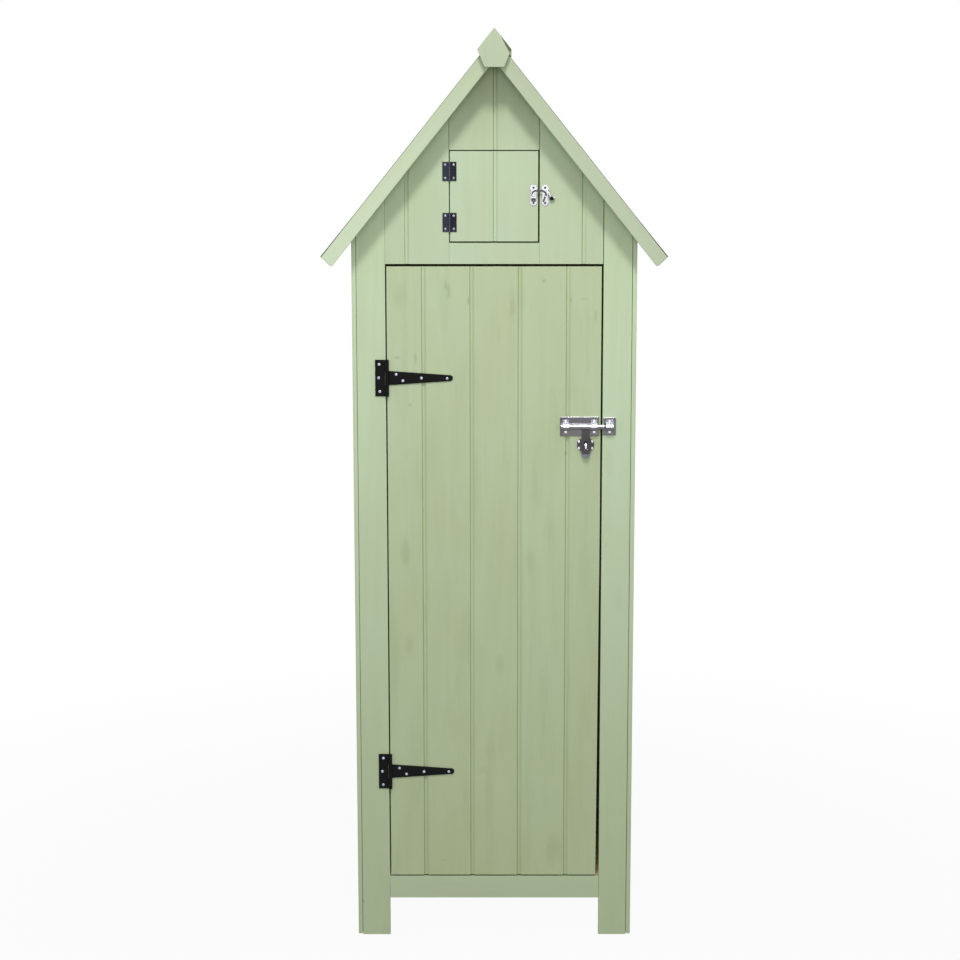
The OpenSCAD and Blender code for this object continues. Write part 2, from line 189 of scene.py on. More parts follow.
def only(piece: Piece) -> None:
    """Selects one piece and makes it the active one."""
    bpy.ops.object.select_all(action="DESELECT")
    piece.select_set(True)
    bpy.context.view_layer.objects.active = piece


def newest(name: str) -> Piece:
    """The piece that was just added, with its name."""
    piece = bpy.context.active_object
    piece.name = piece.data.name = name
    return piece


@contextmanager
def edit(piece: Piece, action: str = "SELECT") -> Iterator[None]:
    """Edit mode on one piece, with all or nothing in it selected."""
    only(piece)
    bpy.ops.object.mode_set(mode="EDIT")
    bpy.ops.mesh.select_all(action=action)
    yield
    bpy.ops.object.mode_set(mode="OBJECT")


def pick_faces(piece: Piece, test: FaceTest) -> None:
    """Selects the faces of a piece in edit mode whose middle and normal pass a test."""
    bpy.ops.mesh.select_mode(type="FACE")
    mesh = bmesh.from_edit_mesh(piece.data)
    for face in mesh.faces:
        face.select_set(test(face.calc_center_median(), face.normal))
    mesh.select_flush_mode()
    bmesh.update_edit_mesh(piece.data)


def rect(x0: float, x1: float, z0: float, z1: float) -> list[Flat]:
    """Corners of a rectangle, in order."""
    return [(x0, z0), (x1, z0), (x1, z1), (x0, z1)]


def shifted(x: float, z: float, outline: Sequence[Flat]) -> list[Flat]:
    """An outline moved to a new middle."""
    return [(x + a, z + b) for a, b in outline]


def arc(middle: Flat, radius: float, start: float, end: float, steps: int = 12) -> list[Flat]:
    """Points on an arc, from one angle to another in degrees."""
    turns = (math.radians(start + (end - start) * i / steps) for i in range(steps + 1))
    return [(middle[0] + radius * math.cos(t), middle[1] + radius * math.sin(t)) for t in turns]


def eased(outline: Sequence[Flat], radii: Union[float, Sequence[float]], steps: int = 3) -> list[Flat]:
    """An outline with its corners rounded.

    Args:
        outline: Corners in order.
        radii: One radius for all corners, or one for each; 0 keeps a corner sharp.
        steps: Segments in each rounded corner.

    Returns:
        The new outline.
    """
    each = [radii] * len(outline) if isinstance(radii, (int, float)) else list(radii)
    made: list[Flat] = []
    for i, (corner, radius) in enumerate(zip(outline, each)):
        here = Vector(corner)
        before = (Vector(outline[i - 1]) - here).normalized()
        after = (Vector(outline[(i + 1) % len(outline)]) - here).normalized()
        half = before.angle(after) / 2
        if radius <= 0 or half > math.radians(88):
            made.append(corner)
            continue
        middle = here + (before + after).normalized() * (radius / math.sin(half))
        start = here + before * (radius / math.tan(half)) - middle
        end = here + after * (radius / math.tan(half)) - middle
        turn = start.angle_signed(end)
        turns = (Matrix.Rotation(-turn * step / steps, 2) for step in range(steps + 1))
        made += [tuple(middle + rotation @ start) for rotation in turns]
    return made


def ribbon(points: Sequence[Flat], width: float) -> list[Flat]:
    """Outline of a flat strip of one width that follows a row of points, round at its ends and bends."""
    spots = [Vector(p) for p in points]
    left, right = [], []
    for i, here in enumerate(spots):
        before = (here - spots[i - 1]).normalized() if i else None
        after = (spots[i + 1] - here).normalized() if i < len(spots) - 1 else None
        way = ((before or after) + (after or before)).normalized()
        across = Vector((-way.y, way.x))
        spread = width / 2 / max(0.4, across.dot(Vector((-(after or before).y, (after or before).x))))
        tail = way * (width / 2 if after is None else -width / 2 if before is None else 0.0)
        left.append(tuple(here + tail + across * spread))
        right.append(tuple(here + tail - across * spread))
    end, bends = [width * 0.36], len(spots) - 2
    radii = end + [width] * bends + end + end + [width * 0.4] * bends + end
    return eased(left + right[::-1], radii, 4)


def block(name: str, low: Solid, high: Solid) -> Piece:
    """A box between two corners, in millimetres."""
    bpy.ops.mesh.primitive_cube_add(size=1.0, location=metres([(a + b) / 2 for a, b in zip(low, high)]))
    piece = newest(name)
    piece.scale = metres([b - a for a, b in zip(low, high)])
    bpy.ops.object.transform_apply()
    return piece


def drawn(name: str, outline: Sequence[Flat], plane: Plane, start: float, end: float) -> Piece:
    """An outline drawn flat and pulled out into a solid.

    Args:
        name: Name of the piece.
        outline: Corners in millimetres, in order.
        plane: Plane of the outline.
        start: Where the pull starts on the third axis.
        end: Where it ends.

    Returns:
        The solid.
    """
    bpy.ops.mesh.primitive_circle_add(vertices=len(outline), radius=1.0, fill_type="NGON")
    piece = newest(name)
    for vert, (a, b) in zip(piece.data.vertices, outline):
        vert.co = plane.at(a, b, start)
    with edit(piece):
        bpy.ops.mesh.extrude_region_move(TRANSFORM_OT_translate={"value": plane.out(end - start)})
        bpy.ops.mesh.select_all(action="SELECT")
        bpy.ops.mesh.normals_make_consistent(inside=False)
    return piece


def fronted(name: str, outline: Sequence[Flat], thick: float, out: float = 0.0) -> Piece:
    """A flat solid that stands on the shed's front face, or some way off it."""
    return drawn(name, outline, Plane.XZ, SHED.front - out - thick, SHED.front - out)


def rod(name: str, middle: Solid, radius: float, length: float, way: Way, sides: int = 32) -> Piece:
    """A round bar about its middle, in millimetres, along one of the axes."""
    turn = Vector((0, 0, 1)).rotation_difference(Vector(way.value)).to_euler()
    bpy.ops.mesh.primitive_cylinder_add(vertices=sides, radius=radius * MM, depth=length * MM,
                                        location=metres(middle), rotation=turn)
    piece = newest(name)
    bpy.ops.object.transform_apply()
    return piece


def apply_modifier(piece: Piece, kind: str, **settings: object) -> None:
    """Adds a modifier with its settings and applies it."""
    only(piece)
    modifier = piece.modifiers.new(kind.lower(), kind)
    for key, value in settings.items():
        setattr(modifier, key, value)
    bpy.ops.object.modifier_apply(modifier=modifier.name)


def smooth(piece: Piece) -> Piece:
    """Smooth shading that keeps flat faces flat."""
    only(piece)
    bpy.ops.object.shade_smooth_by_angle(angle=SMOOTH)
    apply_modifier(piece, "WEIGHTED_NORMAL", keep_sharp=True, weight=80)
    return piece


def soften(piece: Piece, width: float, segments: int = 2, angle: float = 30.0) -> Piece:
    """Rounds every edge sharper than an angle and evens the shading."""
    apply_modifier(piece, "BEVEL", width=width * MM, segments=segments, limit_method="ANGLE",
                   angle_limit=math.radians(angle))
    return smooth(piece)


def crisp(piece: Piece, width: float, segments: int = 2) -> Piece:
    """Rounds the edges of a shape with rounded outlines, and leaves their facets alone."""
    return soften(piece, width, segments, FOLD)


def carve(piece: Piece, tool: Piece, operation: str = "DIFFERENCE") -> Piece:
    """Takes the tool's shape out of the piece, or adds it with UNION, and removes the tool."""
    apply_modifier(piece, "BOOLEAN", operation=operation, object=tool, solver="EXACT")
    bpy.data.objects.remove(tool)
    return piece


def joined(name: str, parts: Sequence[Piece]) -> Piece:
    """Puts several meshes into one piece."""
    only(parts[0])
    for part in parts[1:]:
        part.select_set(True)
    if len(parts) > 1:
        bpy.ops.object.join()
    return newest(name)


def moved(piece: Piece, step: Solid, turn: Solid) -> Piece:
    """Turns a piece by radians about each axis, moves it, in millimetres, and puts that into its mesh."""
    only(piece)
    piece.rotation_euler = turn
    piece.location = metres(step)
    bpy.ops.object.transform_apply()
    return piece


def trim(piece: Piece, point: Solid, normal: Solid) -> Piece:
    """Saws off what lies past a plane, and closes the cut."""
    with edit(piece):
        bpy.ops.mesh.bisect(plane_co=metres(point), plane_no=normal, use_fill=True, clear_outer=True)
    return piece


def under_roof(piece: Piece) -> Piece:
    """Saws a piece to the undersides of both roof slopes."""
    top = (0.0, 0.0, SHED.under(0.0))
    for side, _ in SIDES:
        trim(piece, top, (side * math.sin(SHED.pitch), 0.0, math.cos(SHED.pitch)))
    return piece


def mark_grain(piece: Piece, way: Union[Way, Vector]) -> Piece:
    """Stores where each point lies in the board, so that the grain runs along it and differs board by board.

    Args:
        piece: One board.
        way: Direction of the fibres.

    Returns:
        The same board.
    """
    along = Vector(way.value) if isinstance(way, Way) else way.normalized()
    across = along.orthogonal().normalized()
    third = along.cross(across)
    shift = Vector([RNG.uniform(0, 30) for _ in range(3)])
    shade = RNG.random()
    for name, kind in (("grain", "FLOAT_VECTOR"), ("tone", "FLOAT")):
        piece.data.attributes.new(name, kind, "POINT")
    grain, tone = piece.data.attributes["grain"], piece.data.attributes["tone"]
    for i, vert in enumerate(piece.data.vertices):
        place = Vector((across.dot(vert.co), third.dot(vert.co), along.dot(vert.co)))
        grain.data[i].vector = place + shift
        tone.data[i].value = shade
    return piece


class NodeSheet:
    """Lays out shader nodes in one tree."""

    def __init__(self, tree: bpy.types.NodeTree) -> None:
        """Keeps the tree."""
        self.tree = tree

    def put(self, kind: str, plugs: Optional[dict] = None, **settings: object) -> bpy.types.Node:
        """Adds a node.

        Args:
            kind: The node's type.
            plugs: Input name or number to a value or to another node's output.
            settings: The node's own properties.

        Returns:
            The node.
        """
        made = self.tree.nodes.new(kind)
        for key, value in settings.items():
            setattr(made, key, value)
        for key, value in (plugs or {}).items():
            if isinstance(value, Socket):
                self.tree.links.new(value, made.inputs[key])
            else:
                made.inputs[key].default_value = value
        return made

    def math(self, operation: str, first: object, second: object = 0.0) -> Socket:
        """One sum on two values."""
        return self.put("ShaderNodeMath", {0: first, 1: second}, operation=operation).outputs[0]

    def length(self, vector: object) -> Socket:
        """Length of a vector."""
        return self.put("ShaderNodeVectorMath", {0: vector}, operation="LENGTH").outputs["Value"]

    def layered(self, base: object, coats: Sequence[tuple[object, object]]) -> Socket:
        """A colour with others laid over it in turn, each given with its share."""
        for share, colour in coats:
            base = self.put("ShaderNodeMix", {0: share, 6: base, 7: colour}, data_type="RGBA").outputs[2]
        return base

    def ranged(self, value: object, low: float, high: float, out_low: float, out_high: float) -> Socket:
        """A value taken from one range to another, clamped, with soft ends."""
        plugs = {"Value": value, "From Min": low, "From Max": high, "To Min": out_low, "To Max": out_high}
        return self.put("ShaderNodeMapRange", plugs, interpolation_type="SMOOTHSTEP").outputs[0]

    def stretched(self, vector: object, scale: Solid) -> Socket:
        """Coordinates scaled along each axis."""
        return self.put("ShaderNodeMapping", {"Vector": vector, "Scale": scale}).outputs[0]

    def noise(self, vector: object, scale: float, detail: float = 2.0, rough: float = 0.5) -> Socket:
        """Smooth noise, 0 to 1."""
        plugs = {"Vector": vector, "Scale": scale, "Detail": detail, "Roughness": rough}
        return self.put("ShaderNodeTexNoise", plugs).outputs[0]

    def cells(self, vector: object, scale: object) -> Socket:
        """Distance to the nearest of many scattered points."""
        return self.put("ShaderNodeTexVoronoi", {"Vector": vector, "Scale": scale}).outputs["Distance"]

    def group(self, tree: bpy.types.NodeTree, plugs: dict) -> Outputs:
        """Places a node group with its own values and hands out its outputs."""
        return self.put("ShaderNodeGroup", plugs, node_tree=tree).outputs


class Effects:
    """Shader node groups that several finishes share, each built once."""

    def __init__(self) -> None:
        """Builds the groups."""
        self.timber = self._timber()
        self.smears = self._smears()
        self.specks = self._specks()

    @staticmethod
    def _new(name: str, inputs: dict[str, str], outputs: Sequence[str]) -> tuple[NodeSheet, Outputs]:
        """The sheet of an empty group with its sockets, and what enters it."""
        tree = bpy.data.node_groups.new(name, "ShaderNodeTree")
        for label, kind in inputs.items():
            tree.interface.new_socket(name=label, in_out="INPUT", socket_type=f"NodeSocket{kind}")
        for label in outputs:
            tree.interface.new_socket(name=label, in_out="OUTPUT", socket_type="NodeSocketFloat")
        sheet = NodeSheet(tree)
        return sheet, sheet.put("NodeGroupInput").outputs

    def _timber(self) -> bpy.types.NodeTree:
        """Fibres, growth rings and knots along a board."""
        sheet, enter = self._new("Timber grain", {"Grain": "Vector", "Rings": "Float"},
                                 ("Fibre", "Figure", "Knot"))
        grain = enter["Grain"]
        wide = sheet.noise(sheet.stretched(grain, (1.0, 1.0, 0.07)), 11.0, 1.5, 0.45)
        rings = sheet.math("SINE", sheet.math("MULTIPLY", wide, enter["Rings"]))
        spots = sheet.cells(sheet.stretched(grain, (13.0, 13.0, 4.2)), 1.0)
        sheet.put("NodeGroupOutput", {
            "Fibre": sheet.noise(sheet.stretched(grain, (1.0, 1.0, 0.035)), 230.0, 4.0, 0.6),
            "Figure": sheet.ranged(rings, -1.0, 1.0, 0.0, 1.0),
            "Knot": sheet.ranged(spots, 0.05, 0.17, 1.0, 0.0)})
        return sheet.tree

    def _smears(self) -> bpy.types.NodeTree:
        """Long soft marks and cloudy patches in brushed paint."""
        sheet, enter = self._new("Paint smears", {"Grain": "Vector"}, ("Smear", "Cloud"))
        grain = enter["Grain"]
        long = sheet.noise(sheet.stretched(grain, (1.0, 1.0, 0.16)), 34.0, 3.0, 0.55)
        cloud = sheet.noise(sheet.stretched(grain, (1.0, 1.0, 0.5)), 9.0)
        sheet.put("NodeGroupOutput", {"Smear": sheet.ranged(long, 0.5, 0.72, 0.0, 1.0), "Cloud": cloud})
        return sheet.tree

    def _specks(self) -> bpy.types.NodeTree:
        """Fine specks and a broad drift, for coated metal and felt."""
        sheet, enter = self._new("Specks", {"Place": "Vector", "Size": "Float"}, ("Speck", "Drift"))
        speck = sheet.ranged(sheet.cells(enter["Place"], enter["Size"]), 0.0, 0.75, 1.0, 0.0)
        sheet.put("NodeGroupOutput", {"Speck": speck, "Drift": sheet.noise(enter["Place"], 22.0, 3.0, 0.55)})
        return sheet.tree


EFFECTS = Effects()


class Skin(NodeSheet):
    """Lays out the nodes of one new material."""

    def __init__(self, name: str) -> None:
        """Starts an empty material."""
        self.material = bpy.data.materials.new(name)
        self.material.use_nodes = True
        self.material.node_tree.nodes.clear()
        super().__init__(self.material.node_tree)

    def stored(self, name: str, output: str) -> Socket:
        """A stored value of the mesh."""
        return self.put("ShaderNodeAttribute", attribute_name=name).outputs[output]

    def place(self) -> Socket:
        """Object coordinates."""
        return self.put("ShaderNodeTexCoord").outputs["Object"]

    def coat(self, plugs: dict, height: Socket, strength: float, distance: float) -> Material:
        """Wires the shader up.

        Args:
            plugs: The shader's inputs.
            height: Height of the bumps.
            strength: Strength of the bumps.
            distance: Depth of the bumps in metres.

        Returns:
            The finished material.
        """
        bump = self.put("ShaderNodeBump", {"Height": height, "Strength": strength, "Distance": distance})
        shader = self.put("ShaderNodeBsdfPrincipled", plugs | {"Normal": bump.outputs[0]})
        self.put("ShaderNodeOutputMaterial", {"Surface": shader.outputs[0]})
        return self.material


@dataclass(frozen=True)
class Paint:
    """Brushed satin paint on pine: the grain shows through a little.

    The painted shade darkens the paint at the first height of the span and fades out towards the second:
    shade painted into the colour where less light falls, low on the walls and door and under the roof's
    overhang. Each of
    the stains is a mark: its place in X and Z, half width and half height, in metres, and its strength.
    """

    name: str
    colour: Colour
    thin: Colour
    stain_and_shade: Colour
    smear: float = 0.04
    fibre: float = 0.04
    knots: float = 0.08
    painted_shade: float = 0.18
    span: Flat = (0.1, 1.3)
    stains: tuple[tuple[float, ...], ...] = ()
    slot: str = "sage_paint"

    def material(self) -> Material:
        """Builds the material."""
        skin = Skin(self.name)
        grain, spot = skin.stored("grain", "Vector"), skin.place()
        timber = skin.group(EFFECTS.timber, {"Grain": grain, "Rings": 46.0})
        marks = skin.group(EFFECTS.smears, {"Grain": grain})
        pale = [skin.ranged(skin.stored("tone", "Fac"), 0.0, 1.0, 0.0, 0.22),
                skin.ranged(marks["Cloud"], 0.3, 0.75, 0.0, 0.55)]
        dark = [skin.math("MULTIPLY", timber["Figure"], self.fibre),
                skin.ranged(timber["Fibre"], 0.42, 0.72, 0.0, self.fibre),
                skin.math("MULTIPLY", marks["Smear"], self.smear),
                skin.math("MULTIPLY", timber["Knot"], self.knots)]
        ragged = skin.noise(spot, 90.0, 3.0)
        for x, z, wide, tall, depth in self.stains:
            plugs = {0: spot, 1: (1 / wide, 0.0, 1 / tall), 2: (-x / wide, 0.0, -z / tall)}
            away = skin.length(skin.put("ShaderNodeVectorMath", plugs, operation="MULTIPLY_ADD").outputs[0])
            dark.append(skin.ranged(skin.math("ADD", away, ragged), 0.5, 1.6, depth, 0.0))
        level = skin.put("ShaderNodeSeparateXYZ", {0: spot}).outputs["Z"]
        # Painted shade: the colour darkens towards the first height of the span, where less light falls.
        dark.append(skin.ranged(level, *self.span, self.painted_shade, 0.0))
        coats = [(share, self.thin) for share in pale] + [(share, self.stain_and_shade) for share in dark]
        plugs = {"Base Color": skin.layered(self.colour, coats),
                 "Roughness": skin.ranged(timber["Fibre"], 0.2, 0.8, 0.5, 0.68)}
        height = skin.math("ADD", timber["Fibre"], skin.math("MULTIPLY", timber["Figure"], 0.5))
        return skin.coat(plugs, height, strength=0.12, distance=0.0006)


@dataclass(frozen=True)
class BarePine:
    """Planed pine with no paint, inside the shed."""

    name: str = "bare_pine"
    slot: str = "bare_pine"
    pale: Colour = srgb(214, 184, 138)
    late: Colour = srgb(181, 140, 88)
    knot: Colour = srgb(112, 72, 40)

    def material(self) -> Material:
        """Builds the material."""
        skin = Skin(self.name)
        timber = skin.group(EFFECTS.timber, {"Grain": skin.stored("grain", "Vector"), "Rings": 62.0})
        coats = ((skin.ranged(skin.stored("tone", "Fac"), 0.0, 1.0, 0.0, 0.25), self.late),
                 (skin.math("MULTIPLY", timber["Figure"], 0.5), self.late),
                 (skin.ranged(timber["Fibre"], 0.45, 0.75, 0.0, 0.35), self.late),
                 (skin.math("MULTIPLY", timber["Knot"], 0.85), self.knot))
        plugs = {"Base Color": skin.layered(self.pale, coats),
                 "Roughness": skin.ranged(timber["Fibre"], 0.2, 0.8, 0.6, 0.78)}
        return skin.coat(plugs, timber["Fibre"], strength=0.2, distance=0.0006)


@dataclass(frozen=True)
class Felt:
    """Roofing felt with a mineral face."""

    name: str = "roof_felt"
    slot: str = "roof_felt"
    dark: Colour = srgb(34, 36, 36)
    chip: Colour = srgb(92, 95, 92)

    def material(self) -> Material:
        """Builds the material."""
        skin = Skin(self.name)
        specks = skin.group(EFFECTS.specks, {"Place": skin.place(), "Size": 620.0})
        coats = ((skin.ranged(specks["Drift"], 0.3, 0.7, 0.0, 0.3), self.chip),
                 (skin.ranged(specks["Speck"], 0.5, 1.0, 0.0, 0.7), self.chip))
        plugs = {"Base Color": skin.layered(self.dark, coats),
                 "Roughness": skin.ranged(specks["Speck"], 0.0, 1.0, 0.98, 0.8)}
        return skin.coat(plugs, specks["Speck"], strength=0.6, distance=0.001)


@dataclass(frozen=True)
class Metal:
    """Metal with fine specks that drifts from one tone to another; each kind sets the class values."""

    name: str
    tone: Colour
    worn: Colour
    rough: Flat

    slot: ClassVar[str]
    size: ClassVar[float]
    drift: ClassVar[Solid]
    gloss: ClassVar[Flat]
    bump: ClassVar[float]
    extra: ClassVar[dict[str, float]]

    def material(self) -> Material:
        """Builds the material."""
        skin = Skin(self.name)
        specks = skin.group(EFFECTS.specks, {"Place": skin.place(), "Size": self.size})
        low, high, share = self.drift
        coats = ((skin.ranged(specks["Drift"], low, high, 0.0, share), self.worn),)
        plugs = {"Base Color": skin.layered(self.tone, coats),
                 "Roughness": skin.ranged(specks["Drift"], *self.gloss, *self.rough)}
        return skin.coat(plugs | self.extra, specks["Speck"], strength=self.bump, distance=0.0003)


@dataclass(frozen=True)
class CoatedIron(Metal):
    """Black stoved paint on pressed steel."""

    rough: Flat = (0.42, 0.6)

    slot = "black_iron"
    size = 900.0
    drift = (0.4, 0.75, 0.4)
    gloss = (0.3, 0.7)
    bump = 0.1
    extra = {"Specular IOR Level": 0.1}


@dataclass(frozen=True)
class PlatedSteel(Metal):
    """Bright plating on steel, a little dulled."""

    rough: Flat = (0.16, 0.34)

    slot = "bright_metal"
    size = 420.0
    drift = (0.35, 0.7, 0.8)
    gloss = (0.3, 0.75)
    bump = 0.03
    extra = {"Metallic": 1.0}


DOOR_STAINS = ((-0.180, 1.292, 0.019, 0.036, 0.14), (-0.087, 1.301, 0.006, 0.020, 0.3),
               (-0.094, 1.311, 0.003, 0.012, 0.3), (-0.049, 1.282, 0.004, 0.012, 0.35),
               (-0.187, 1.172, 0.010, 0.004, 0.35), (-0.152, 1.172, 0.003, 0.016, 0.3),
               (-0.163, 1.080, 0.006, 0.004, 0.25), (0.095, 1.320, 0.006, 0.005, 0.4),
               (0.034, 1.272, 0.010, 0.040, 0.25), (0.195, 1.253, 0.005, 0.016, 0.25),
               (0.172, 1.286, 0.008, 0.004, 0.25), (0.147, 1.284, 0.003, 0.010, 0.35),
               (0.139, 0.986, 0.003, 0.006, 0.4), (0.119, 0.183, 0.024, 0.041, 0.14),
               (-0.023, 0.345, 0.016, 0.010, 0.14), (-0.101, 0.157, 0.008, 0.005, 0.2))


class Finish(Enum):
    """The finishes on the shed."""

    SAGE = Paint("sage_paint", srgb(201, 220, 186), srgb(197, 210, 171), srgb(142, 150, 98), fibre=0.025)
    # A lighter copy of the sage paint for the posts and corner boards: painted light, with stronger painted
    # shade towards the bottom.
    POST = Paint("post_paint", srgb(207, 227, 191), srgb(202, 218, 178), srgb(142, 150, 98), fibre=0.025,
                 painted_shade=0.3)
    # A darker copy of the sage paint for the gable's top boards, darkest at the top: painted shade under the
    # roof's overhang.
    PEAK = Paint("peak_paint", srgb(199, 217, 183), srgb(195, 207, 169), srgb(132, 136, 92), fibre=0.025,
                 painted_shade=0.34, span=(1.72, 1.54))
    # Lighter paint for the left bargeboards and darker paint for the right ones: painted light and shade
    # across the two sides, with painted shade towards the ridge.
    RAKE = Paint("rake_paint", srgb(213, 231, 198), srgb(210, 222, 186), srgb(142, 150, 108),
                 painted_shade=0.42, span=(1.78, 1.42))
    SHADED_RAKE = Paint("shaded_rake_paint", srgb(195, 209, 179), srgb(192, 203, 171), srgb(142, 150, 108),
                 painted_shade=0.2, span=(1.78, 1.48))
    DOOR = Paint("door_paint", srgb(198, 215, 177), srgb(193, 205, 160), srgb(134, 141, 88), smear=0.1,
                 fibre=0.035, knots=0.2, stains=DOOR_STAINS, slot="door_paint")
    END = Paint("end_paint", srgb(189, 205, 173), srgb(184, 197, 164), srgb(140, 152, 112))
    SPLIT = Paint("split_wood", srgb(128, 132, 88), srgb(150, 150, 98), srgb(70, 74, 42), smear=0.6,
                  fibre=0.7, knots=0.2)
    PINE = BarePine()
    FELT = Felt()
    IRON = CoatedIron("black_iron", srgb(15, 15, 15), srgb(30, 30, 31))
    BLUED = CoatedIron("blued_iron", srgb(34, 34, 47), srgb(58, 58, 76))
    # Paler iron on the front faces of the hatch hinges' left leaves.
    PALE_LEAF = CoatedIron("pale_leaf_iron", srgb(54, 56, 72), srgb(68, 70, 86))
    # Lighter iron on the knuckles' front faces: a painted sheen.
    KNUCKLE_SHEEN = CoatedIron("knuckle_sheen_iron", srgb(84, 88, 97), srgb(104, 108, 117))
    ZINC = PlatedSteel("plated_steel", srgb(118, 117, 120), srgb(92, 91, 94), (0.1, 0.22))
    # Dark plating on the hook, arm and staple, also used as painted shade on the bolt's flap and underside.
    DARK = PlatedSteel("dark_plating", srgb(84, 82, 84), srgb(66, 64, 67), (0.12, 0.26))
    WORN = PlatedSteel("worn_plating", srgb(190, 197, 210), srgb(146, 152, 166), (0.2, 0.4))
    # Dull plating on the hatch hinge screws, also used as the painted highlight on the bolt's strips above
    # the bar.
    DULL_AND_SHEEN = PlatedSteel("dull_and_sheen_plating", srgb(160, 160, 168), srgb(128, 128, 138), (0.22, 0.42))
    # Bluish plating on the bolt flap's tip: a painted reflection.
    BLUE_SHEEN = PlatedSteel("blue_sheen_plating", srgb(128, 128, 150), srgb(104, 104, 122), (0.14, 0.3))
    SATIN = PlatedSteel("satin_plating", srgb(206, 206, 213), srgb(164, 164, 174), (0.18, 0.36))
    # Bright plating on screws and knobs, also used as the painted highlight on the bolt's upward faces, its
    # strips and the staple lug's front.
    BRIGHT = PlatedSteel("bright_plating", srgb(232, 232, 238), srgb(205, 205, 214))


@cache
def material_of(finish: Finish) -> Material:
    """The material of a finish, built once."""
    return finish.value.material()


def settle(piece: Piece, finish: Finish, *nodes: str, body: str = "frame",
           inner: Optional[Solid] = None) -> Piece:
    """Dresses a finished piece and hangs it on its body.

    Args:
        piece: The piece, in place.
        finish: Its finish.
        nodes: CAD nodes that it stands for.
        body: CAD body that it moves with.
        inner: Direction of faces that stay bare pine.

    Returns:
        The same piece.
    """
    piece.data.materials.clear()
    piece.data.materials.append(material_of(finish))
    if inner is not None:
        touched(piece, Finish.PINE, lambda middle, normal: normal.dot(Vector(inner)) > 0.7)
    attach(piece, body)
    if nodes:
        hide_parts(*nodes)
    LOG.info("%s: %d faces, on %s, in %s", piece.name, len(piece.data.polygons), body, finish.value.name)
    return piece


def touched(piece: Piece, finish: Finish, test: FaceTest) -> Piece:
    """Gives the faces whose middle and normal pass a test another finish."""
    piece.data.materials.append(material_of(finish))
    last = len(piece.data.materials) - 1
    for face in piece.data.polygons:
        if test(face.center, face.normal):
            face.material_index = last
    return piece


@dataclass
class BoardRun:
    """Grooved boards side by side, tongue in groove, as one piece.

    A taper is the height below which the last board's free edge leans in, and its slope.
    """

    name: str
    node: str
    x0: float
    x1: float
    z0: float
    z1: float
    first: float = SHED.wall_first
    pitch: float = SHED.wall_pitch
    thick: float = SHED.front_t
    facing: Facing = Facing.FRONT
    finish: Finish = Finish.SAGE
    body: str = "frame"
    most: int = 12
    groove: float = 9.5
    depth: float = 3.0
    bevel: float = 4.0
    lip: float = 1.5
    slit: float = 0.25
    slit_depth: float = 0.8
    back: float = 1.2
    edge: float = 1.0
    taper: Optional[Flat] = None

    def starts(self) -> list[float]:
        """Where the grooves start, by the same rule as in the part's source."""
        marks = (self.first + i * self.pitch for i in range(-self.most, self.most + 1))
        return [x for x in marks if self.x0 + self.groove < x < self.x1 - 2 * self.groove]

    def outlines(self) -> Iterator[list[Flat]]:
        """Each board's section: distance along the run, and depth from the face."""
        marks = self.starts()
        floor, rear = self.depth + self.slit_depth, self.thick - self.back
        for left, right in zip([None] + marks, marks + [None]):
            if left is None:
                corners = [(self.x0, self.thick, 0.0), (self.x0, 0.0, self.edge)]
            else:
                tongue = left + self.lip
                near, far, rise = tongue + SHED.play, tongue + self.slit, left + self.groove
                corners = [(near + self.back, self.thick, 0.0), (near, rear, 0.0), (near, floor, 0.0),
                           (far, floor, 0.0), (far, self.depth, 0.2), (rise - self.bevel, self.depth, 0.4),
                           (rise, 0.0, self.edge)]
            if right is None:
                corners += [(self.x1, 0.0, self.edge), (self.x1, self.thick, 0.0)]
            else:
                end = right + self.lip
                corners += [(right, 0.0, 0.8), (end, self.depth, 0.0), (end, rear, 0.0),
                            (end - self.back, self.thick, 0.0)]
            yield eased([corner[:2] for corner in corners], [corner[2] for corner in corners])

    def build(self) -> Piece:
        """Models the boards, saws them to the roof and joins them."""
        places = {Facing.FRONT: (0.0, SHED.front, 0.0), Facing.BACK: (0.0, SHED.back, 0.0),
                  Facing.LEFT: (-SHED.half_width, 0.0, 0.0), Facing.RIGHT: (SHED.half_width, 0.0, 0.0)}
        angle = math.radians(self.facing.value)
        parts = []
        for i, outline in enumerate(self.outlines()):
            board = drawn(f"{self.name}.{i}", outline, Plane.XY, self.z0, self.z1)
            parts.append(moved(board, places[self.facing], (0.0, 0.0, angle)))
        if self.taper:
            trim(parts[-1], (self.x1, 0.0, self.taper[0]), (1.0, 0.0, -self.taper[1]))
        for board in parts:
            if self.z1 > SHED.under(SHED.half_width):
                under_roof(board)
            mark_grain(smooth(board), Way.UP)
        return settle(joined(self.name, parts), self.finish, self.node, body=self.body,
                      inner=(-math.sin(angle), math.cos(angle), 0.0))


@dataclass
class Planks:
    """Plain sawn boards as one piece; those that reach the ridge are sawn to the roof."""

    name: str
    node: str
    boxes: Sequence[Box]
    way: Way
    finish: Finish = Finish.PINE
    body: str = "frame"
    edge: float = 1.0
    segments: int = 2
    nick: Optional[Box] = None

    def build(self) -> None:
        """Models the boards and joins them."""
        parts = []
        for i, (low, high) in enumerate(self.boxes):
            board = block(f"{self.name}.{i}", low, high)
            if self.nick:
                carve(board, block("nick", *self.nick))
            if high[2] >= SHED.ridge:
                under_roof(board)
            parts.append(mark_grain(soften(board, self.edge, self.segments), self.way))
        settle(joined(self.name, parts), self.finish, self.node, body=self.body)


def ledge_boxes(x0: float, x1: float, high: float, thick: float, heights: Sequence[float]) -> list[Box]:
    """Boxes of the ledges across the back of a door or hatch, for the heights of their middles."""
    y0 = SHED.inner_front
    return [((x0, y0, z - high / 2), (x1, y0 + thick, z + high / 2)) for z in heights]


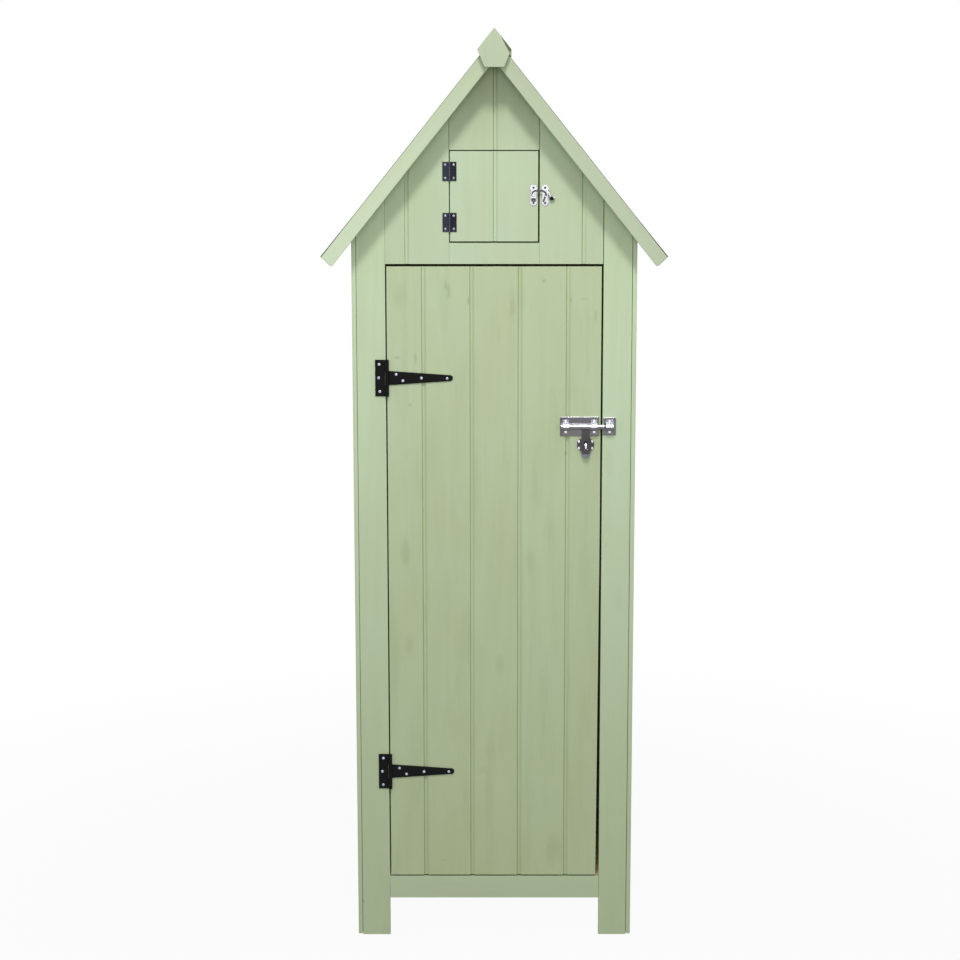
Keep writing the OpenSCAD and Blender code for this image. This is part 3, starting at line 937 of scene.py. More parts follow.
@dataclass
class Carcass:
    """Corner legs, bottom rails, floor and the bare frame inside."""

    rail_h: float = 30.0
    rafter_w: float = 28.0
    rafter_gap: float = 1.0
    rafter_edge: float = 1.0
    head_lap: float = 30.0
    floor_t: float = 12.0
    floor_count: int = 5
    floor_gap: float = 4.0
    leg_edge: float = 1.6
    planed: float = 2.3
    joint: float = 0.5
    corner_foot: float = 1.5
    nick: Box = ((-1.0, -1.0, 67.0), (1.8, 3.0, 72.5))

    def posts(self) -> Iterator[Planks]:
        """The corner posts that run down as legs, one with a nick, and the boards that close the corners."""
        for end, y0 in (("front", SHED.front), ("back", SHED.inner_back)):
            for side, x0 in (("left", -SHED.inside), ("right", SHED.open_half)):
                node = f"{end}_{side}_stile"
                boxes = [((x0, y0, 0.0), (x0 + SHED.stile_w, y0 + SHED.front_t, SHED.ridge))]
                nicked = node == "front_left_stile"
                nick = tuple((x0 + x, y0 + y, z) for x, y, z in self.nick) if nicked else None
                # Posts and corner boards take the lighter post paint, which is painted light.
                yield Planks(f"{node}_post", node, boxes, Way.UP, Finish.POST, edge=self.leg_edge, nick=nick)
        for side, x0 in (("left", -SHED.half_width), ("right", SHED.inside + self.joint)):
            x1 = x0 + SHED.side_t - self.joint
            boxes = [((x0, y0, self.corner_foot), (x1, y0 + SHED.corner_w, SHED.ridge))
                     for y0 in (SHED.front, SHED.back - SHED.corner_w)]
            yield Planks(f"{side}_corner_strips", f"{side}_corner_boards", boxes, Way.UP, Finish.POST,
                         edge=self.leg_edge)

    def rails(self) -> Iterator[Planks]:
        """Bottom rails front and back; the front one is planed down a little under the door."""
        half = SHED.open_half
        for end, y0, drop in (("front", SHED.front, self.planed), ("back", SHED.inner_back, 0.0)):
            boxes = [((-half, y0, SHED.leg), (half, y0 + SHED.front_t, SHED.sill_top - drop))]
            yield Planks(f"{end}_bottom_rail", f"{end}_sill", boxes, Way.ACROSS, Finish.SAGE)

    def bare_frame(self) -> Iterator[Planks]:
        """Floor boards on two bearers, eaves rails and the head rail over the door."""
        y0, y1, wide, thick = SHED.inner_front, SHED.inner_back, SHED.inside, SHED.rail_t
        low, high, sides = SHED.sill_top - self.floor_t, SHED.sill_top, (-wide, wide - thick)
        boxes = [((x0, y0, SHED.leg), (x0 + thick, y1, low)) for x0 in sides]
        yield Planks("bearers", "floor_bearers", boxes, Way.DEEP)
        width = (y1 - y0 - (self.floor_count - 1) * self.floor_gap) / self.floor_count
        starts = [y0 + i * (width + self.floor_gap) for i in range(self.floor_count)]
        boxes = [((-wide, start, low), (wide, start + width, high)) for start in starts]
        yield Planks("floor_planks", "floor_boards", boxes, Way.ACROSS)
        low = SHED.under(wide) - self.rail_h
        boxes = [((x0, y0 + thick, low), (x0 + thick, y1 - thick, SHED.ridge)) for x0 in sides]
        yield Planks("eaves_battens", "eaves_rails", boxes, Way.DEEP)
        reach = SHED.open_half + self.head_lap
        boxes = [((-reach, y0, SHED.head), (reach, y0 + thick, SHED.head + self.rail_h))]
        yield Planks("head_batten", "door_head_rail", boxes, Way.ACROSS)

    def rafters(self) -> None:
        """The rafters behind both gables."""
        corners = rect(self.rafter_gap, SHED.inside, 0.0, self.rafter_w / math.cos(SHED.pitch))
        for end, start in (("front", SHED.inner_front), ("back", SHED.inner_back - SHED.rail_t)):
            parts = []
            for side, name in SIDES:
                outline = [(side * x, SHED.under(x) - drop) for x, drop in corners]
                rafter = drawn(f"{end}_{name}_rafter", outline, Plane.XZ, start, start + SHED.rail_t)
                parts.append(mark_grain(soften(rafter, self.rafter_edge), SHED.down(side)))
            settle(joined(f"{end}_rafter_pair", parts), Finish.PINE, f"{end}_rafters")

    def build(self) -> None:
        """Builds the whole carcass."""
        for planks in (*self.posts(), *self.rails(), *self.bare_frame()):
            planks.build()
        self.rafters()


@dataclass
class Cladding:
    """Grooved boards on the sides, the back and the front gable."""

    right_gap: float = 1.0
    top_gaps: Flat = (0.5, 0.7)

    def build(self) -> None:
        """Builds every run of wall boards."""
        run, top, wide, half = SHED.back - SHED.corner_w, SHED.ridge, SHED.open_half, SHED.hatch_half
        left, right = self.top_gaps
        for side, facing in (("left", Facing.LEFT), ("right", Facing.RIGHT)):
            BoardRun(f"{side}_wall_boards", f"{side}_wall", -run, run, SHED.leg, top,
                     thick=SHED.side_t, facing=facing).build()
        BoardRun("back_wall_boards", "back_wall", -wide, wide, SHED.sill_top, top, facing=Facing.BACK).build()
        BoardRun("gable_boards_left", "gable_left_boards", -wide, -half, SHED.head, top).build()
        BoardRun("gable_boards_right", "gable_right_boards", half, wide - self.right_gap, SHED.head,
                 top).build()
        # The top gable boards take the darker peak paint: painted shade under the overhang.
        BoardRun("gable_boards_top", "gable_top_boards", -half + left, half - right, SHED.hatch_high, top,
                 finish=Finish.PEAK).build()
        BoardRun("board_under_hatch", "hatch_sill_board", -half, half, SHED.head, SHED.hatch_low,
                 first=PLAIN).build()


@dataclass
class Roof:
    """Boarded slopes, felt, bargeboards, ridge caps and the end blocks."""

    board_count: int = 6
    board_edge: float = 1.0
    joint: float = 1.2
    felt_thin: tuple[Flat, Flat] = ((0.8, 0.5), (0.0, 0.3))
    barge_w: float = 27.0
    barge_lean: float = 6.0
    barge_rounds: Sequence[float] = (0, 1.5, 5.0, 0)
    cap_t: float = 9.2
    cap_left: float = 26.5
    cap_right: float = 32.5
    block_t: float = 14.0
    block_half: float = 31.8
    block_foot: float = 18.4
    block_h: float = 72.5
    block_rounds: Sequence[float] = (3.0, 2.5, 1.0, 1.0, 2.5)
    break_x: float = 16.5
    break_z: float = 1772.0
    break_way: Solid = (0.767, -0.5, 0.40)

    def on_slope(self, side: int, corners: Sequence[Flat]) -> list[Flat]:
        """X and Z of points at a distance down the slope and a height over the boards' top face."""
        sine, cosine = math.sin(SHED.pitch), math.cos(SHED.pitch)
        return [(side * (run * cosine + lift * sine), SHED.ridge - run * sine + lift * cosine)
                for run, lift in corners]

    def mitred(self, name: str, side: int, outline: Sequence[Flat], start: float, end: float) -> Piece:
        """A board along or across one slope, sawn plumb at the ridge."""
        return trim(drawn(name, outline, Plane.XZ, start, end), (0.0, 0.0, SHED.ridge), (-side, 0.0, 0.0))

    def boards(self, side: int, name: str) -> None:
        """Roof boards laid from front to back, with a joint between each two."""
        width = SHED.slope / self.board_count
        parts = []
        for i in range(self.board_count):
            start = i * width + (self.joint / 2 if i else -SHED.roof_t * 2)
            end = (i + 1) * width - (self.joint / 2 if i < self.board_count - 1 else 0.0)
            outline = self.on_slope(side, rect(start, end, -SHED.roof_t, 0.0))
            board = self.mitred(f"{name}.{i}", side, outline, -SHED.roof_y, SHED.roof_y)
            parts.append(mark_grain(soften(board, self.board_edge), Way.DEEP))
        settle(joined(f"{name}_roof_planks", parts), Finish.SAGE, f"{name}_roof_boards")

    def felt(self, side: int, name: str) -> None:
        """One sheet of felt over a slope, thinner towards the ridge."""
        length = SHED.slope
        corners = [(0.0, 0.0), (length, 0.0), (length, SHED.felt_t)]
        corners += [(length * share, thick) for share, thick in self.felt_thin]
        outline = self.on_slope(side, corners)
        sheet = drawn(f"{name}_felt_sheet", outline, Plane.XZ, -SHED.barge_y, SHED.barge_y)
        settle(soften(sheet, 0.2), Finish.FELT, f"{name}_roof_felt")

    def cap(self, side: int, name: str) -> None:
        """A ridge cap board on one slope, with a plumb outer edge."""
        reach = self.cap_left if side < 0 else self.cap_right
        low, high = ((SHED.felt_t + SHED.play + t) / math.cos(SHED.pitch) for t in (0.0, self.cap_t))
        outline = [(side * x, SHED.ridge - x * math.tan(SHED.pitch) + lift)
                   for x, lift in rect(0.0, reach, low, high)]
        cap = soften(drawn(f"{name}_ridge_board", outline, Plane.XZ, -SHED.barge_y, SHED.barge_y), 1.2)
        settle(mark_grain(cap, Way.DEEP), Finish.SAGE, f"{name}_ridge_cap")

    def bargeboards(self) -> None:
        """Slim boards that face the roof's ends."""
        over, wide = -self.barge_w * 2, self.barge_w
        lower = SHED.slope + wide * math.tan(math.radians(self.barge_lean))
        corners = ((over, 0.0), (SHED.slope, 0.0), (lower, -wide), (over, -wide))
        for end, y0 in (("front", -SHED.barge_y), ("back", SHED.roof_y)):
            for side, name in SIDES:
                outline = eased(self.on_slope(side, corners), self.barge_rounds, 5)
                board = self.mitred(f"{end}_{name}_barge", side, outline, y0, y0 + SHED.barge_t)
                mark_grain(crisp(board, 1.8, 3), SHED.down(side))
                # Left bargeboards take the lighter paint and right ones the darker paint: painted light and
                # shade.
                settle(board, Finish.RAKE if side < 0 else Finish.SHADED_RAKE, f"{end}_{name}_bargeboard")

    def end_blocks(self) -> None:
        """Five-sided blocks on the ridge's ends; the front one has lost a splinter off its right shoulder."""
        top = SHED.ridge + (SHED.felt_t + SHED.play + self.cap_t) / math.cos(SHED.pitch)
        foot, shoulder = top - self.block_h, top - self.block_half * math.tan(SHED.pitch)
        corners = [(0.0, top), (self.block_half, shoulder), (self.block_foot, foot), (-self.block_foot, foot),
                   (-self.block_half, shoulder)]
        outline = eased(corners, self.block_rounds, 4)
        broken = Vector(self.break_way).normalized()
        face = -SHED.barge_y - self.block_t
        for end, y0 in (("front", face), ("back", SHED.barge_y)):
            made = crisp(drawn(f"{end}_ridge_end", outline, Plane.XZ, y0, y0 + self.block_t), 1.4, 3)
            if end == "front":
                smooth(trim(made, (self.break_x, face, self.break_z), tuple(broken)))
            settle(mark_grain(made, Way.UP), Finish.END, f"{end}_ridge_block")
            touched(made, Finish.SPLIT, lambda middle, normal: normal.dot(broken) > 0.995)

    def build(self) -> None:
        """Builds the whole roof."""
        for side, name in SIDES:
            self.boards(side, name)
            self.felt(side, name)
            self.cap(side, name)
        self.bargeboards()
        self.end_blocks()


@dataclass
class Screw:
    """A domed cross-head screw, modelled once and copied."""

    radius: float = 2.6
    height: float = 0.9
    slot: float = 0.55
    slot_reach: float = 0.62
    slot_floor: float = 0.75
    dome: Sequence[Flat] = ((0.5, 0.25), (0.8, 0.2))
    master: Optional[Piece] = None

    def model(self) -> Piece:
        """The first screw: its head stands off the XZ plane towards the front."""
        head = rod("screw_master", (0.0, -self.height / 2, 0.0), self.radius, self.height, Way.DEEP, 20)
        with edit(head, "DESELECT"):
            pick_faces(head, lambda middle, normal: normal.y < -0.9)
            for thickness, rise in self.dome:
                bpy.ops.mesh.inset(thickness=thickness * MM, depth=0.0)
                bpy.ops.transform.translate(value=(0.0, -rise * MM, 0.0))
        half, reach = self.slot / 2, self.radius * self.slot_reach
        for x, z in ((reach, half), (half, reach)):
            carve(head, block("cross", (-x, -2.0, -z), (x, -self.slot_floor, z)))
        return smooth(head)

    def drive(self, name: str, places: Sequence[Solid]) -> Piece:
        """Copies of the screw at several places, each with its own turn, as one piece."""
        if self.master is None:
            self.master = self.model()
        parts = []
        for spot in places:
            only(self.master)
            bpy.ops.object.duplicate(linked=False)
            parts.append(moved(newest(name), spot, (0.0, RNG.uniform(0.0, math.pi), 0.0)))
        return joined(name, parts)

    def put_away(self) -> None:
        """Removes the first screw once all are driven."""
        bpy.data.objects.remove(self.master)
        self.master = None


SCREW = Screw()
SMALL_SCREW = Screw(radius=2.3, height=0.7, slot=0.45)


@dataclass
class TeeHinge:
    """A black T hinge: plate and knuckles on the stile, tapered strap on the door."""

    name: str
    height: float
    plate_screws: Sequence[Flat]
    strap_screws: Sequence[Flat]
    x: float = -206.8
    plate_w: float = 23.0
    plate_h: float = 71.0
    thick: float = 2.0
    knuckle: float = 3.8
    pin: float = 2.0
    pin_over: float = 1.2
    strap: float = 127.0
    strap_start: float = 2.5
    root: float = 14.0
    tip: float = 5.6
    slip: float = 0.3
    bore: float = 0.08
    bore_over: float = 4.0
    lap: float = 4.0
    clear: float = 10.0

    @property
    def pin_y(self) -> float:
        """How far forward the pin stands."""
        return SHED.front - self.knuckle - self.slip

    def curl(self, side: int, reach: float, base: float) -> list[Flat]:
        """Section of a leaf that curls round the pin, the leaf lying to one side of it.

        Args:
            side: -1 for a leaf on the left, 1 for one on the right.
            reach: How far the leaf reaches from the pin.
            base: Rear face of the leaf's free end.

        Returns:
            The outline, seen from above.
        """
        face = SHED.front - self.thick
        meet = math.degrees(math.asin((face - self.pin_y) / self.knuckle))
        turn = arc((self.x, self.pin_y), self.knuckle, 90.0, -180.0 - meet if side < 0 else 360.0 + meet, 28)
        far = self.x + side * reach
        return [(far, base)] + turn + [(far, face)]

    def screws(self, leaf: str, places: Sequence[Flat], body: str) -> None:
        """The screws of one leaf."""
        spots = [(x, SHED.front - self.thick, z) for x, z in places]
        settle(SCREW.drive(f"{self.name}_{leaf}_screws", spots), Finish.WORN, body=body)

    def plate(self) -> None:
        """The fixed half with its pin."""
        z, half, gap = self.height, self.plate_h / 2, self.root + self.slip
        plate = drawn("plate", self.curl(-1, self.plate_w, SHED.front), Plane.XY, z - half, z + half)
        carve(plate, block("gap", (self.x - self.knuckle - 2 * self.slip, self.pin_y - self.clear, z - gap),
                           (self.x + self.clear, SHED.front + self.clear / 2, z + gap)))
        pin = rod("pin", (self.x, self.pin_y, z), self.pin, self.plate_h + self.pin_over, Way.UP, 20)
        leaf = joined(f"{self.name}_hinge_leaf", [crisp(part, 0.5) for part in (plate, pin)])
        settle(leaf, Finish.IRON, f"{self.name}_hinge_plate")
        self.screws("leaf", self.plate_screws, "frame")

    def strap_leaf(self) -> None:
        """The moving half: a tapered strap with a round tip."""
        z, root, edge = self.height, self.root, self.x + self.strap_start
        rise = (root - self.tip) * self.strap_start / (self.strap - self.tip)
        outline = [(edge, z + root - rise), (edge, z - root + rise)]
        outline += arc((self.x + self.strap - self.tip, z), self.tip, -90.0, 90.0, 16)
        strap = fronted(f"{self.name}_strap_leaf", outline, self.thick)
        curl = drawn("curl", self.curl(1, self.lap, SHED.front - self.slip), Plane.XY, z - root, z + root)
        length = root * 2 + self.bore_over
        bore = rod("bore", (self.x, self.pin_y, z), self.pin + self.bore, length, Way.UP, 24)
        carve(strap, carve(curl, bore), "UNION")
        settle(crisp(strap, 0.45), Finish.IRON, f"{self.name}_hinge_strap", body="door")
        self.screws("strap", self.strap_screws, "door")

    def build(self) -> None:
        """Builds both halves."""
        self.plate()
        self.strap_leaf()


@dataclass
class Padbolt:
    """The bright bolt: back plate with guides, bar with a slotted flap, staple and keep."""

    z: float = 1038.5
    x0: float = 127.3
    x1: float = 202.8
    half_h: float = 19.0
    keep_half_h: float = 17.5
    plate_t: float = 1.5
    bar_r: float = 5.5
    bar_d: float = 7.3
    bar_start: float = 1.0
    bar_end: float = 213.65
    guide_w: float = 12.0
    guide_in: Flat = (5.0, 3.5)
    guide_foot: float = 13.0
    inner_r: float = 5.8
    outer_r: float = 7.4
    keep_x: float = 210.9
    keep_w: float = 24.5
    mouth: float = 15.0
    flap_x: float = 177.0
    flap_t: float = 2.4
    flap_rounds: Sequence[float] = (0, 4, 6, 3, 3, 0)
    flap_tip: float = 18.0
    flap_sheen_line: float = 17.5
    staple_drop: float = 36.0
    staple_half: Flat = (16.5, 11.0)
    staple_cut: float = 5.0
    staple_screw: Flat = (12.4, 6.4)
    lug_r: float = 7.0
    lug_t: float = 4.4
    lug_play: Flat = (1.6, 0.8)
    hole_r: float = 3.6
    hole_gap: float = 0.6

    def strip(self, name: str, x: float, width: float) -> Piece:
        """A bent strip over the bar, with two feet."""
        foot = self.plate_t + self.outer_r - self.inner_r
        shape = [(-self.guide_foot, self.plate_t), (-self.guide_foot, foot), (-self.outer_r, foot)]
        shape += arc((0.0, self.bar_d), self.outer_r, 180.0, 0.0, 20)
        shape += [(self.outer_r, foot), (self.guide_foot, foot), (self.guide_foot, self.plate_t),
                  (self.inner_r, self.plate_t)]
        shape += arc((0.0, self.bar_d), self.inner_r, 0.0, 180.0, 20)
        shape += [(-self.inner_r, self.plate_t)]
        outline = [(SHED.front - d, self.z + a) for a, d in shape]
        return crisp(drawn(name, outline, Plane.YZ, x, x + width), 0.35)

    def paint_upward_sheen(self, piece: Piece) -> None:
        """Gives the faces that look up the bright plating: a painted highlight, the sky's reflection painted
        on.
        """
        touched(piece, Finish.BRIGHT, lambda middle, normal: normal.z > 0.25)

    def paint_strip_highlights(self, piece: Piece) -> None:
        """Paints highlights on a bent strip: the lighter plating on its faces above the bar, and the bright
        one on its upward faces and the lower foot's bottom end.
        """
        touched(piece, Finish.DULL_AND_SHEEN, lambda middle, normal: abs(normal.x) < 0.5
                and middle.z > (self.z + self.bar_r) * MM)
        touched(piece, Finish.BRIGHT, lambda middle, normal: normal.z > 0.05
                or (normal.z < -0.3 and middle.z < (self.z - self.guide_foot + 1.0) * MM))

    def guided(self, names: Sequence[str], node: str, body: str, plate: Solid, starts: Sequence[float],
               width: float) -> None:
        """A plate with bent strips over the bar, and screws in their feet.

        Args:
            names: Names of the plate, the strips and the screws.
            node: CAD node that they stand for.
            body: CAD body that they move with.
            plate: Left edge, right edge and half height of the plate.
            starts: Left edges of the strips.
            width: Width of a strip.
        """
        x0, x1, half = plate
        outline = eased(rect(x0, x1, self.z - half, self.z + half), 2.0, 4)
        flat = crisp(fronted(names[0], outline, self.plate_t), 1.1, 3)
        self.paint_upward_sheen(settle(flat, Finish.ZINC, node, body=body))
        strips = [self.strip(f"strip.{i}", x, width) for i, x in enumerate(starts)]
        self.paint_strip_highlights(settle(joined(names[1], strips), Finish.ZINC, body=body))
        front = SHED.front - self.plate_t - (self.outer_r - self.inner_r)
        reach = (self.guide_foot + self.outer_r) / 2
        feet = [(x + width / 2, front, self.z + side * reach) for x in starts for side in (-1, 1)]
        settle(SCREW.drive(names[2], feet), Finish.BRIGHT, body=body)

    def bar(self) -> None:
        """The round bar with the flap that hangs from it."""
        start, y = self.x0 + self.bar_start, SHED.front - self.bar_d
        bar = rod("bolt_round_bar", ((start + self.bar_end) / 2, y, self.z), self.bar_r, self.bar_end - start,
                  Way.ACROSS, 40)
        drop, tip = self.staple_drop, -self.flap_tip - self.staple_drop
        right = eased([(8.5, 0.0), (8.5, -7.0), (7.2, -16.0), (11.0, 4.0 - drop), (11.0, -4.0 - drop),
                       (6.8, tip)], self.flap_rounds, 4)
        shape = right + arc((0.0, tip), 7.0, -15.0, -165.0, 14) + [(-x, z) for x, z in reversed(right)]
        outline = shifted(self.flap_x, self.z, shape)
        flap = drawn("flap", outline, Plane.XZ, y - self.flap_t / 2, y + self.flap_t / 2)
        side, high = (self.lug_t + self.lug_play[0]) / 2, self.lug_r + self.lug_play[1]
        carve(flap, block("slot", (self.flap_x - side, y - 5, self.z - drop - high),
                          (self.flap_x + side, y + 5, self.z - drop + high)))
        crisp(carve(crisp(bar, 1.2, 3), flap, "UNION"), 0.35)
        # Height where the flap's painted bluish reflection starts; the mesh is split there so that the tip
        # can take it.
        sheen_line = (self.z - drop - self.flap_sheen_line) * MM
        with edit(bar):
            bpy.ops.mesh.bisect(plane_co=(0.0, 0.0, sheen_line), plane_no=(0.0, 0.0, 1.0))
        settle(bar, Finish.ZINC, "bolt_bar", body="door")
        # Painted shade: the flap and the bar's underside take the darker plating.
        touched(bar, Finish.DARK, lambda middle, normal: middle.z < (self.z - self.bar_r + 0.3) * MM)
        # Painted reflection: the flap's tip below that line takes the bluish plating.
        touched(bar, Finish.BLUE_SHEEN, lambda middle, normal: middle.z < sheen_line)
        self.paint_upward_sheen(bar)

    def staple(self) -> None:
        """The padlock staple and its plate with cut corners."""
        z = self.z - self.staple_drop
        (wide, high), less = self.staple_half, self.staple_cut
        corners = [(-wide, less - high), (less - wide, -high), (wide - less, -high), (wide, less - high),
                   (wide, high - less), (wide - less, high), (less - wide, high), (-wide, high - less)]
        plate = crisp(fronted("plate", shifted(self.flap_x, z, eased(corners, 1.0, 2)), self.plate_t), 0.4)
        out = self.bar_d + self.flap_t / 2 + self.hole_r + self.hole_gap
        shape = [(-self.lug_r, 0.0)] + arc((0.0, out), self.lug_r, 180.0, 0.0, 24) + [(self.lug_r, 0.0)]
        lug = drawn("lug", [(SHED.front - d, z + a) for a, d in shape], Plane.YZ,
                    self.flap_x - self.lug_t / 2, self.flap_x + self.lug_t / 2)
        carve(lug, rod("hole", (self.flap_x, SHED.front - out, z), self.hole_r, 20.0, Way.ACROSS))
        made = joined("padlock_staple", [plate, crisp(lug, 0.8, 3)])
        settle(made, Finish.DARK, "bolt_staple", body="door")
        # Painted highlight: the lug's front faces take the bright plating.
        touched(made, Finish.BRIGHT, lambda middle, normal: normal.y < -0.5 and abs(normal.x) < 0.3
                and middle.y < (SHED.front - self.bar_d) * MM)
        across, up = self.staple_screw
        spots = [(self.flap_x + sx * across, SHED.front - self.plate_t, z + sz * up)
                 for sx in (-1, 1) for sz in (-1, 1)]
        settle(SCREW.drive("staple_screws", spots), Finish.BRIGHT, body="door")

    def build(self) -> None:
        """Builds the bolt."""
        starts = (self.x0 + self.guide_in[0], self.x1 - self.guide_in[1] - self.guide_w)
        self.guided(("bolt_plate", "bolt_guides", "bolt_plate_screws"), "bolt_base", "door",
                    (self.x0, self.x1, self.half_h), starts, self.guide_w)
        self.guided(("bolt_keep_plate", "bolt_keep_strip", "bolt_keep_screws"), "bolt_keep", "frame",
                    (self.keep_x, self.keep_x + self.keep_w, self.keep_half_h),
                    [self.keep_x + (self.keep_w - self.mouth) / 2], self.mouth)
        self.bar()
        self.staple()


@dataclass
class Door:
    """The boarded door, its ledges and all that is fixed to it.

    Closer is how much further than in the part's source the boards reach into the left, right and lower gaps.
    """

    x0: float = -204.3
    x1: float = 204.3
    z0: float = 131.0
    z1: float = 1348.0
    closer: Solid = (2.6, 1.6, 4.1)
    taper: Flat = (850.0, 0.0045)
    first: float = -47.9
    pitch: float = 92.8
    ledge_h: float = 60.0
    ledge_t: float = 18.0
    ledge_inset: float = 24.0
    upper: float = 1133.0
    lower: float = 343.5

    def build(self) -> None:
        """Builds the door with its hinges and bolt."""
        left, right, low = self.closer
        BoardRun("door_planks", "door_boards", self.x0 - left, self.x1 + right, self.z0 - low, self.z1,
                 self.first, self.pitch, finish=Finish.DOOR, body="door", taper=self.taper).build()
        inset, middle = self.ledge_inset, (self.lower + self.upper) / 2
        boxes = ledge_boxes(self.x0 + inset, self.x1 - inset, self.ledge_h, self.ledge_t,
                            (self.lower, middle, self.upper))
        Planks("door_ledge_boards", "door_ledges", boxes, Way.ACROSS, body="door", edge=3.0,
               segments=3).build()
        TeeHinge("upper", self.upper, ((-222.0, 1160.0), (-223.0, 1133.5), (-221.0, 1107.0)),
                 ((-189.3, 1140.5), (-176.3, 1128.0), (-140.4, 1133.2), (-91.0, 1132.4))).build()
        TeeHinge("lower", self.lower, ((-220.5, 371.0), (-222.8, 343.5), (-221.2, 316.0)),
                 ((-188.5, 350.2), (-174.8, 338.0), (-139.8, 343.0), (-90.4, 343.0))).build()
        Padbolt().build()


@dataclass
class Hatch:
    """The small square hatch in the gable with its hinges and hook latch.

    Closer is how much further than in the part's source the boards reach into the left, right, lower and
    upper gaps.
    """

    gap: float = 2.0
    gap_latch: float = 4.0
    gap_foot: float = 4.5
    gap_top: float = 3.0
    closer: tuple[float, float, float, float] = (0.4, 1.2, 1.4, 0.8)
    ledge_h: float = 32.0
    ledge_t: float = 15.0
    ledge_inset: float = 20.0
    ledge_shares: Flat = (0.24, 0.76)
    butt_shares: Flat = (0.223, 0.771)
    butt_h: float = 36.0
    butt_w: float = 27.0
    butt_t: float = 1.5
    butt_r: float = 2.4
    butt_split: float = 0.6
    butt_lengths: int = 5
    butt_seam: float = 0.5
    knuckle_sheen_width: float = 1.6
    butt_screw: Flat = (0.3, 0.7)
    latch_h: float = 40.0
    latch_w: float = 14.0
    latch_z: float = 1483.64
    latch_x: float = 74.65
    latch_screw: float = 14.5
    keeper_x: float = 96.75
    hook_w: float = 3.2
    hook_t: float = 2.6
    hook_out: float = 7.2
    lever_out: float = 4.2
    grip_gap: float = 2.6
    pivot_up: float = 1.0

    def heights(self, shares: Sequence[float]) -> list[float]:
        """Heights at given shares of the hatch opening."""
        return [SHED.hatch_low + share * (SHED.hatch_high - SHED.hatch_low) for share in shares]

    def hinges(self) -> None:
        """Two dark butt hinges, each with two leaves and a knuckle in short lengths."""
        x = -SHED.hatch_half + self.gap / 2
        half, step = self.butt_h / 2, (self.butt_h + self.butt_seam) / self.butt_lengths
        length, front = step - self.butt_seam, SHED.front - self.butt_t
        across, up = self.butt_screw
        parts, spots = [], []
        for z in self.heights(self.butt_shares):
            for side in (-1, 1):
                corners = rect(x + side * self.butt_split, x + side * self.butt_w / 2, z - half, z + half)
                parts.append(crisp(fronted("leaf", eased(corners, (0, 1.0, 1.0, 0)), self.butt_t), 0.35))
                spots += [(x + side * self.butt_w * across, front, z + lift * half) for lift in (-up, up)]
            for i in range(self.butt_lengths):
                middle = (x, SHED.front - self.butt_r, z - half + i * step + length / 2)
                parts.append(crisp(rod("knuckle", middle, self.butt_r, length, Way.UP, 20), 0.3))
        made = settle(joined("hatch_butt_hinges", parts), Finish.BLUED, "hatch_hinges")
        left, sheen_width = (x - self.butt_r) * MM, self.knuckle_sheen_width * MM
        # The left leaves' front faces take a paler iron.
        touched(made, Finish.PALE_LEAF, lambda middle, normal: normal.y < -0.8 and middle.x < left)
        # Painted sheen: the knuckles' front faces take a lighter iron.
        touched(made, Finish.KNUCKLE_SHEEN, lambda middle, normal: normal.y < -0.4 and abs(middle.x - x * MM) < sheen_width)
        settle(SMALL_SCREW.drive("hatch_hinge_screws", spots), Finish.DULL_AND_SHEEN)

    def latch_plate(self, x: float) -> Piece:
        """A plate with round ends and a slim waist."""
        r, reach = self.latch_w / 2, self.latch_h / 2 - self.latch_w / 2
        shape = arc((0.0, reach), r, -35.0, 215.0, 16) + arc((0.0, -reach), r, 145.0, 395.0, 16)
        return crisp(fronted("latch_plate", shifted(x, self.latch_z, shape), self.butt_t), 0.5)

    def boss(self, name: str, x: float, z: float, radius: float, height: float) -> Piece:
        """A round boss that stands off the front."""
        return crisp(rod(name, (x, SHED.front - height / 2, z), radius, height, Way.DEEP, 24), 0.7, 3)

    def bent(self, name: str, x: float, points: Sequence[Flat], out: float) -> Piece:
        """A bent strip in front of the latch, its points given from a plate's middle."""
        outline = shifted(x, self.latch_z, ribbon(points, self.hook_w))
        return crisp(drawn(name, outline, Plane.XZ, SHED.front - out, SHED.front - out + self.hook_t), 0.5)

    def shade_rims(self, piece: Piece) -> None:
        """Darkens the side and bevel faces of a plate and of what is joined to it: painted shade round its
        outline.
        """
        touched(piece, Finish.DARK, lambda middle, normal: normal.y > -0.8)

    def latch(self) -> None:
        """The hook's plate on the hatch, with its staple, and the arched hook over the gap."""
        x, z, out = self.latch_x, self.latch_z, self.butt_t + self.hook_out
        front, pivot, reach = SHED.front - self.butt_t, z + self.pivot_up, self.keeper_x - x
        parts = [self.latch_plate(x), self.boss("boss", x, pivot, 3.4, out - self.hook_t - 0.2)]
        self.shade_rims(settle(joined("latch_hook_plate", parts), Finish.SATIN, "hatch_latch"))
        points = ((-2.5, 1.0), (-1.5, 6.5), (4.0, 9.0), (reach - 5.0, 9.0), (reach + 0.5, 5.5),
                  (reach + 2.0, 1.0))
        hook = self.bent("hook", x, points, out)
        staple = block("staple", (x - 4.5, front - 4.0, z - 12.0), (x + 4.5, front, z - 5.0))
        carve(staple, block("eye", (x - 2.5, front - 6.0, z - 10.2), (x + 2.5, front - 0.4, z - 6.8)))
        settle(joined("latch_hook", [hook, crisp(staple, 0.6)]), Finish.DARK)
        settle(self.boss("latch_pivot", x, pivot, 2.6, out + 1.0), Finish.BRIGHT)

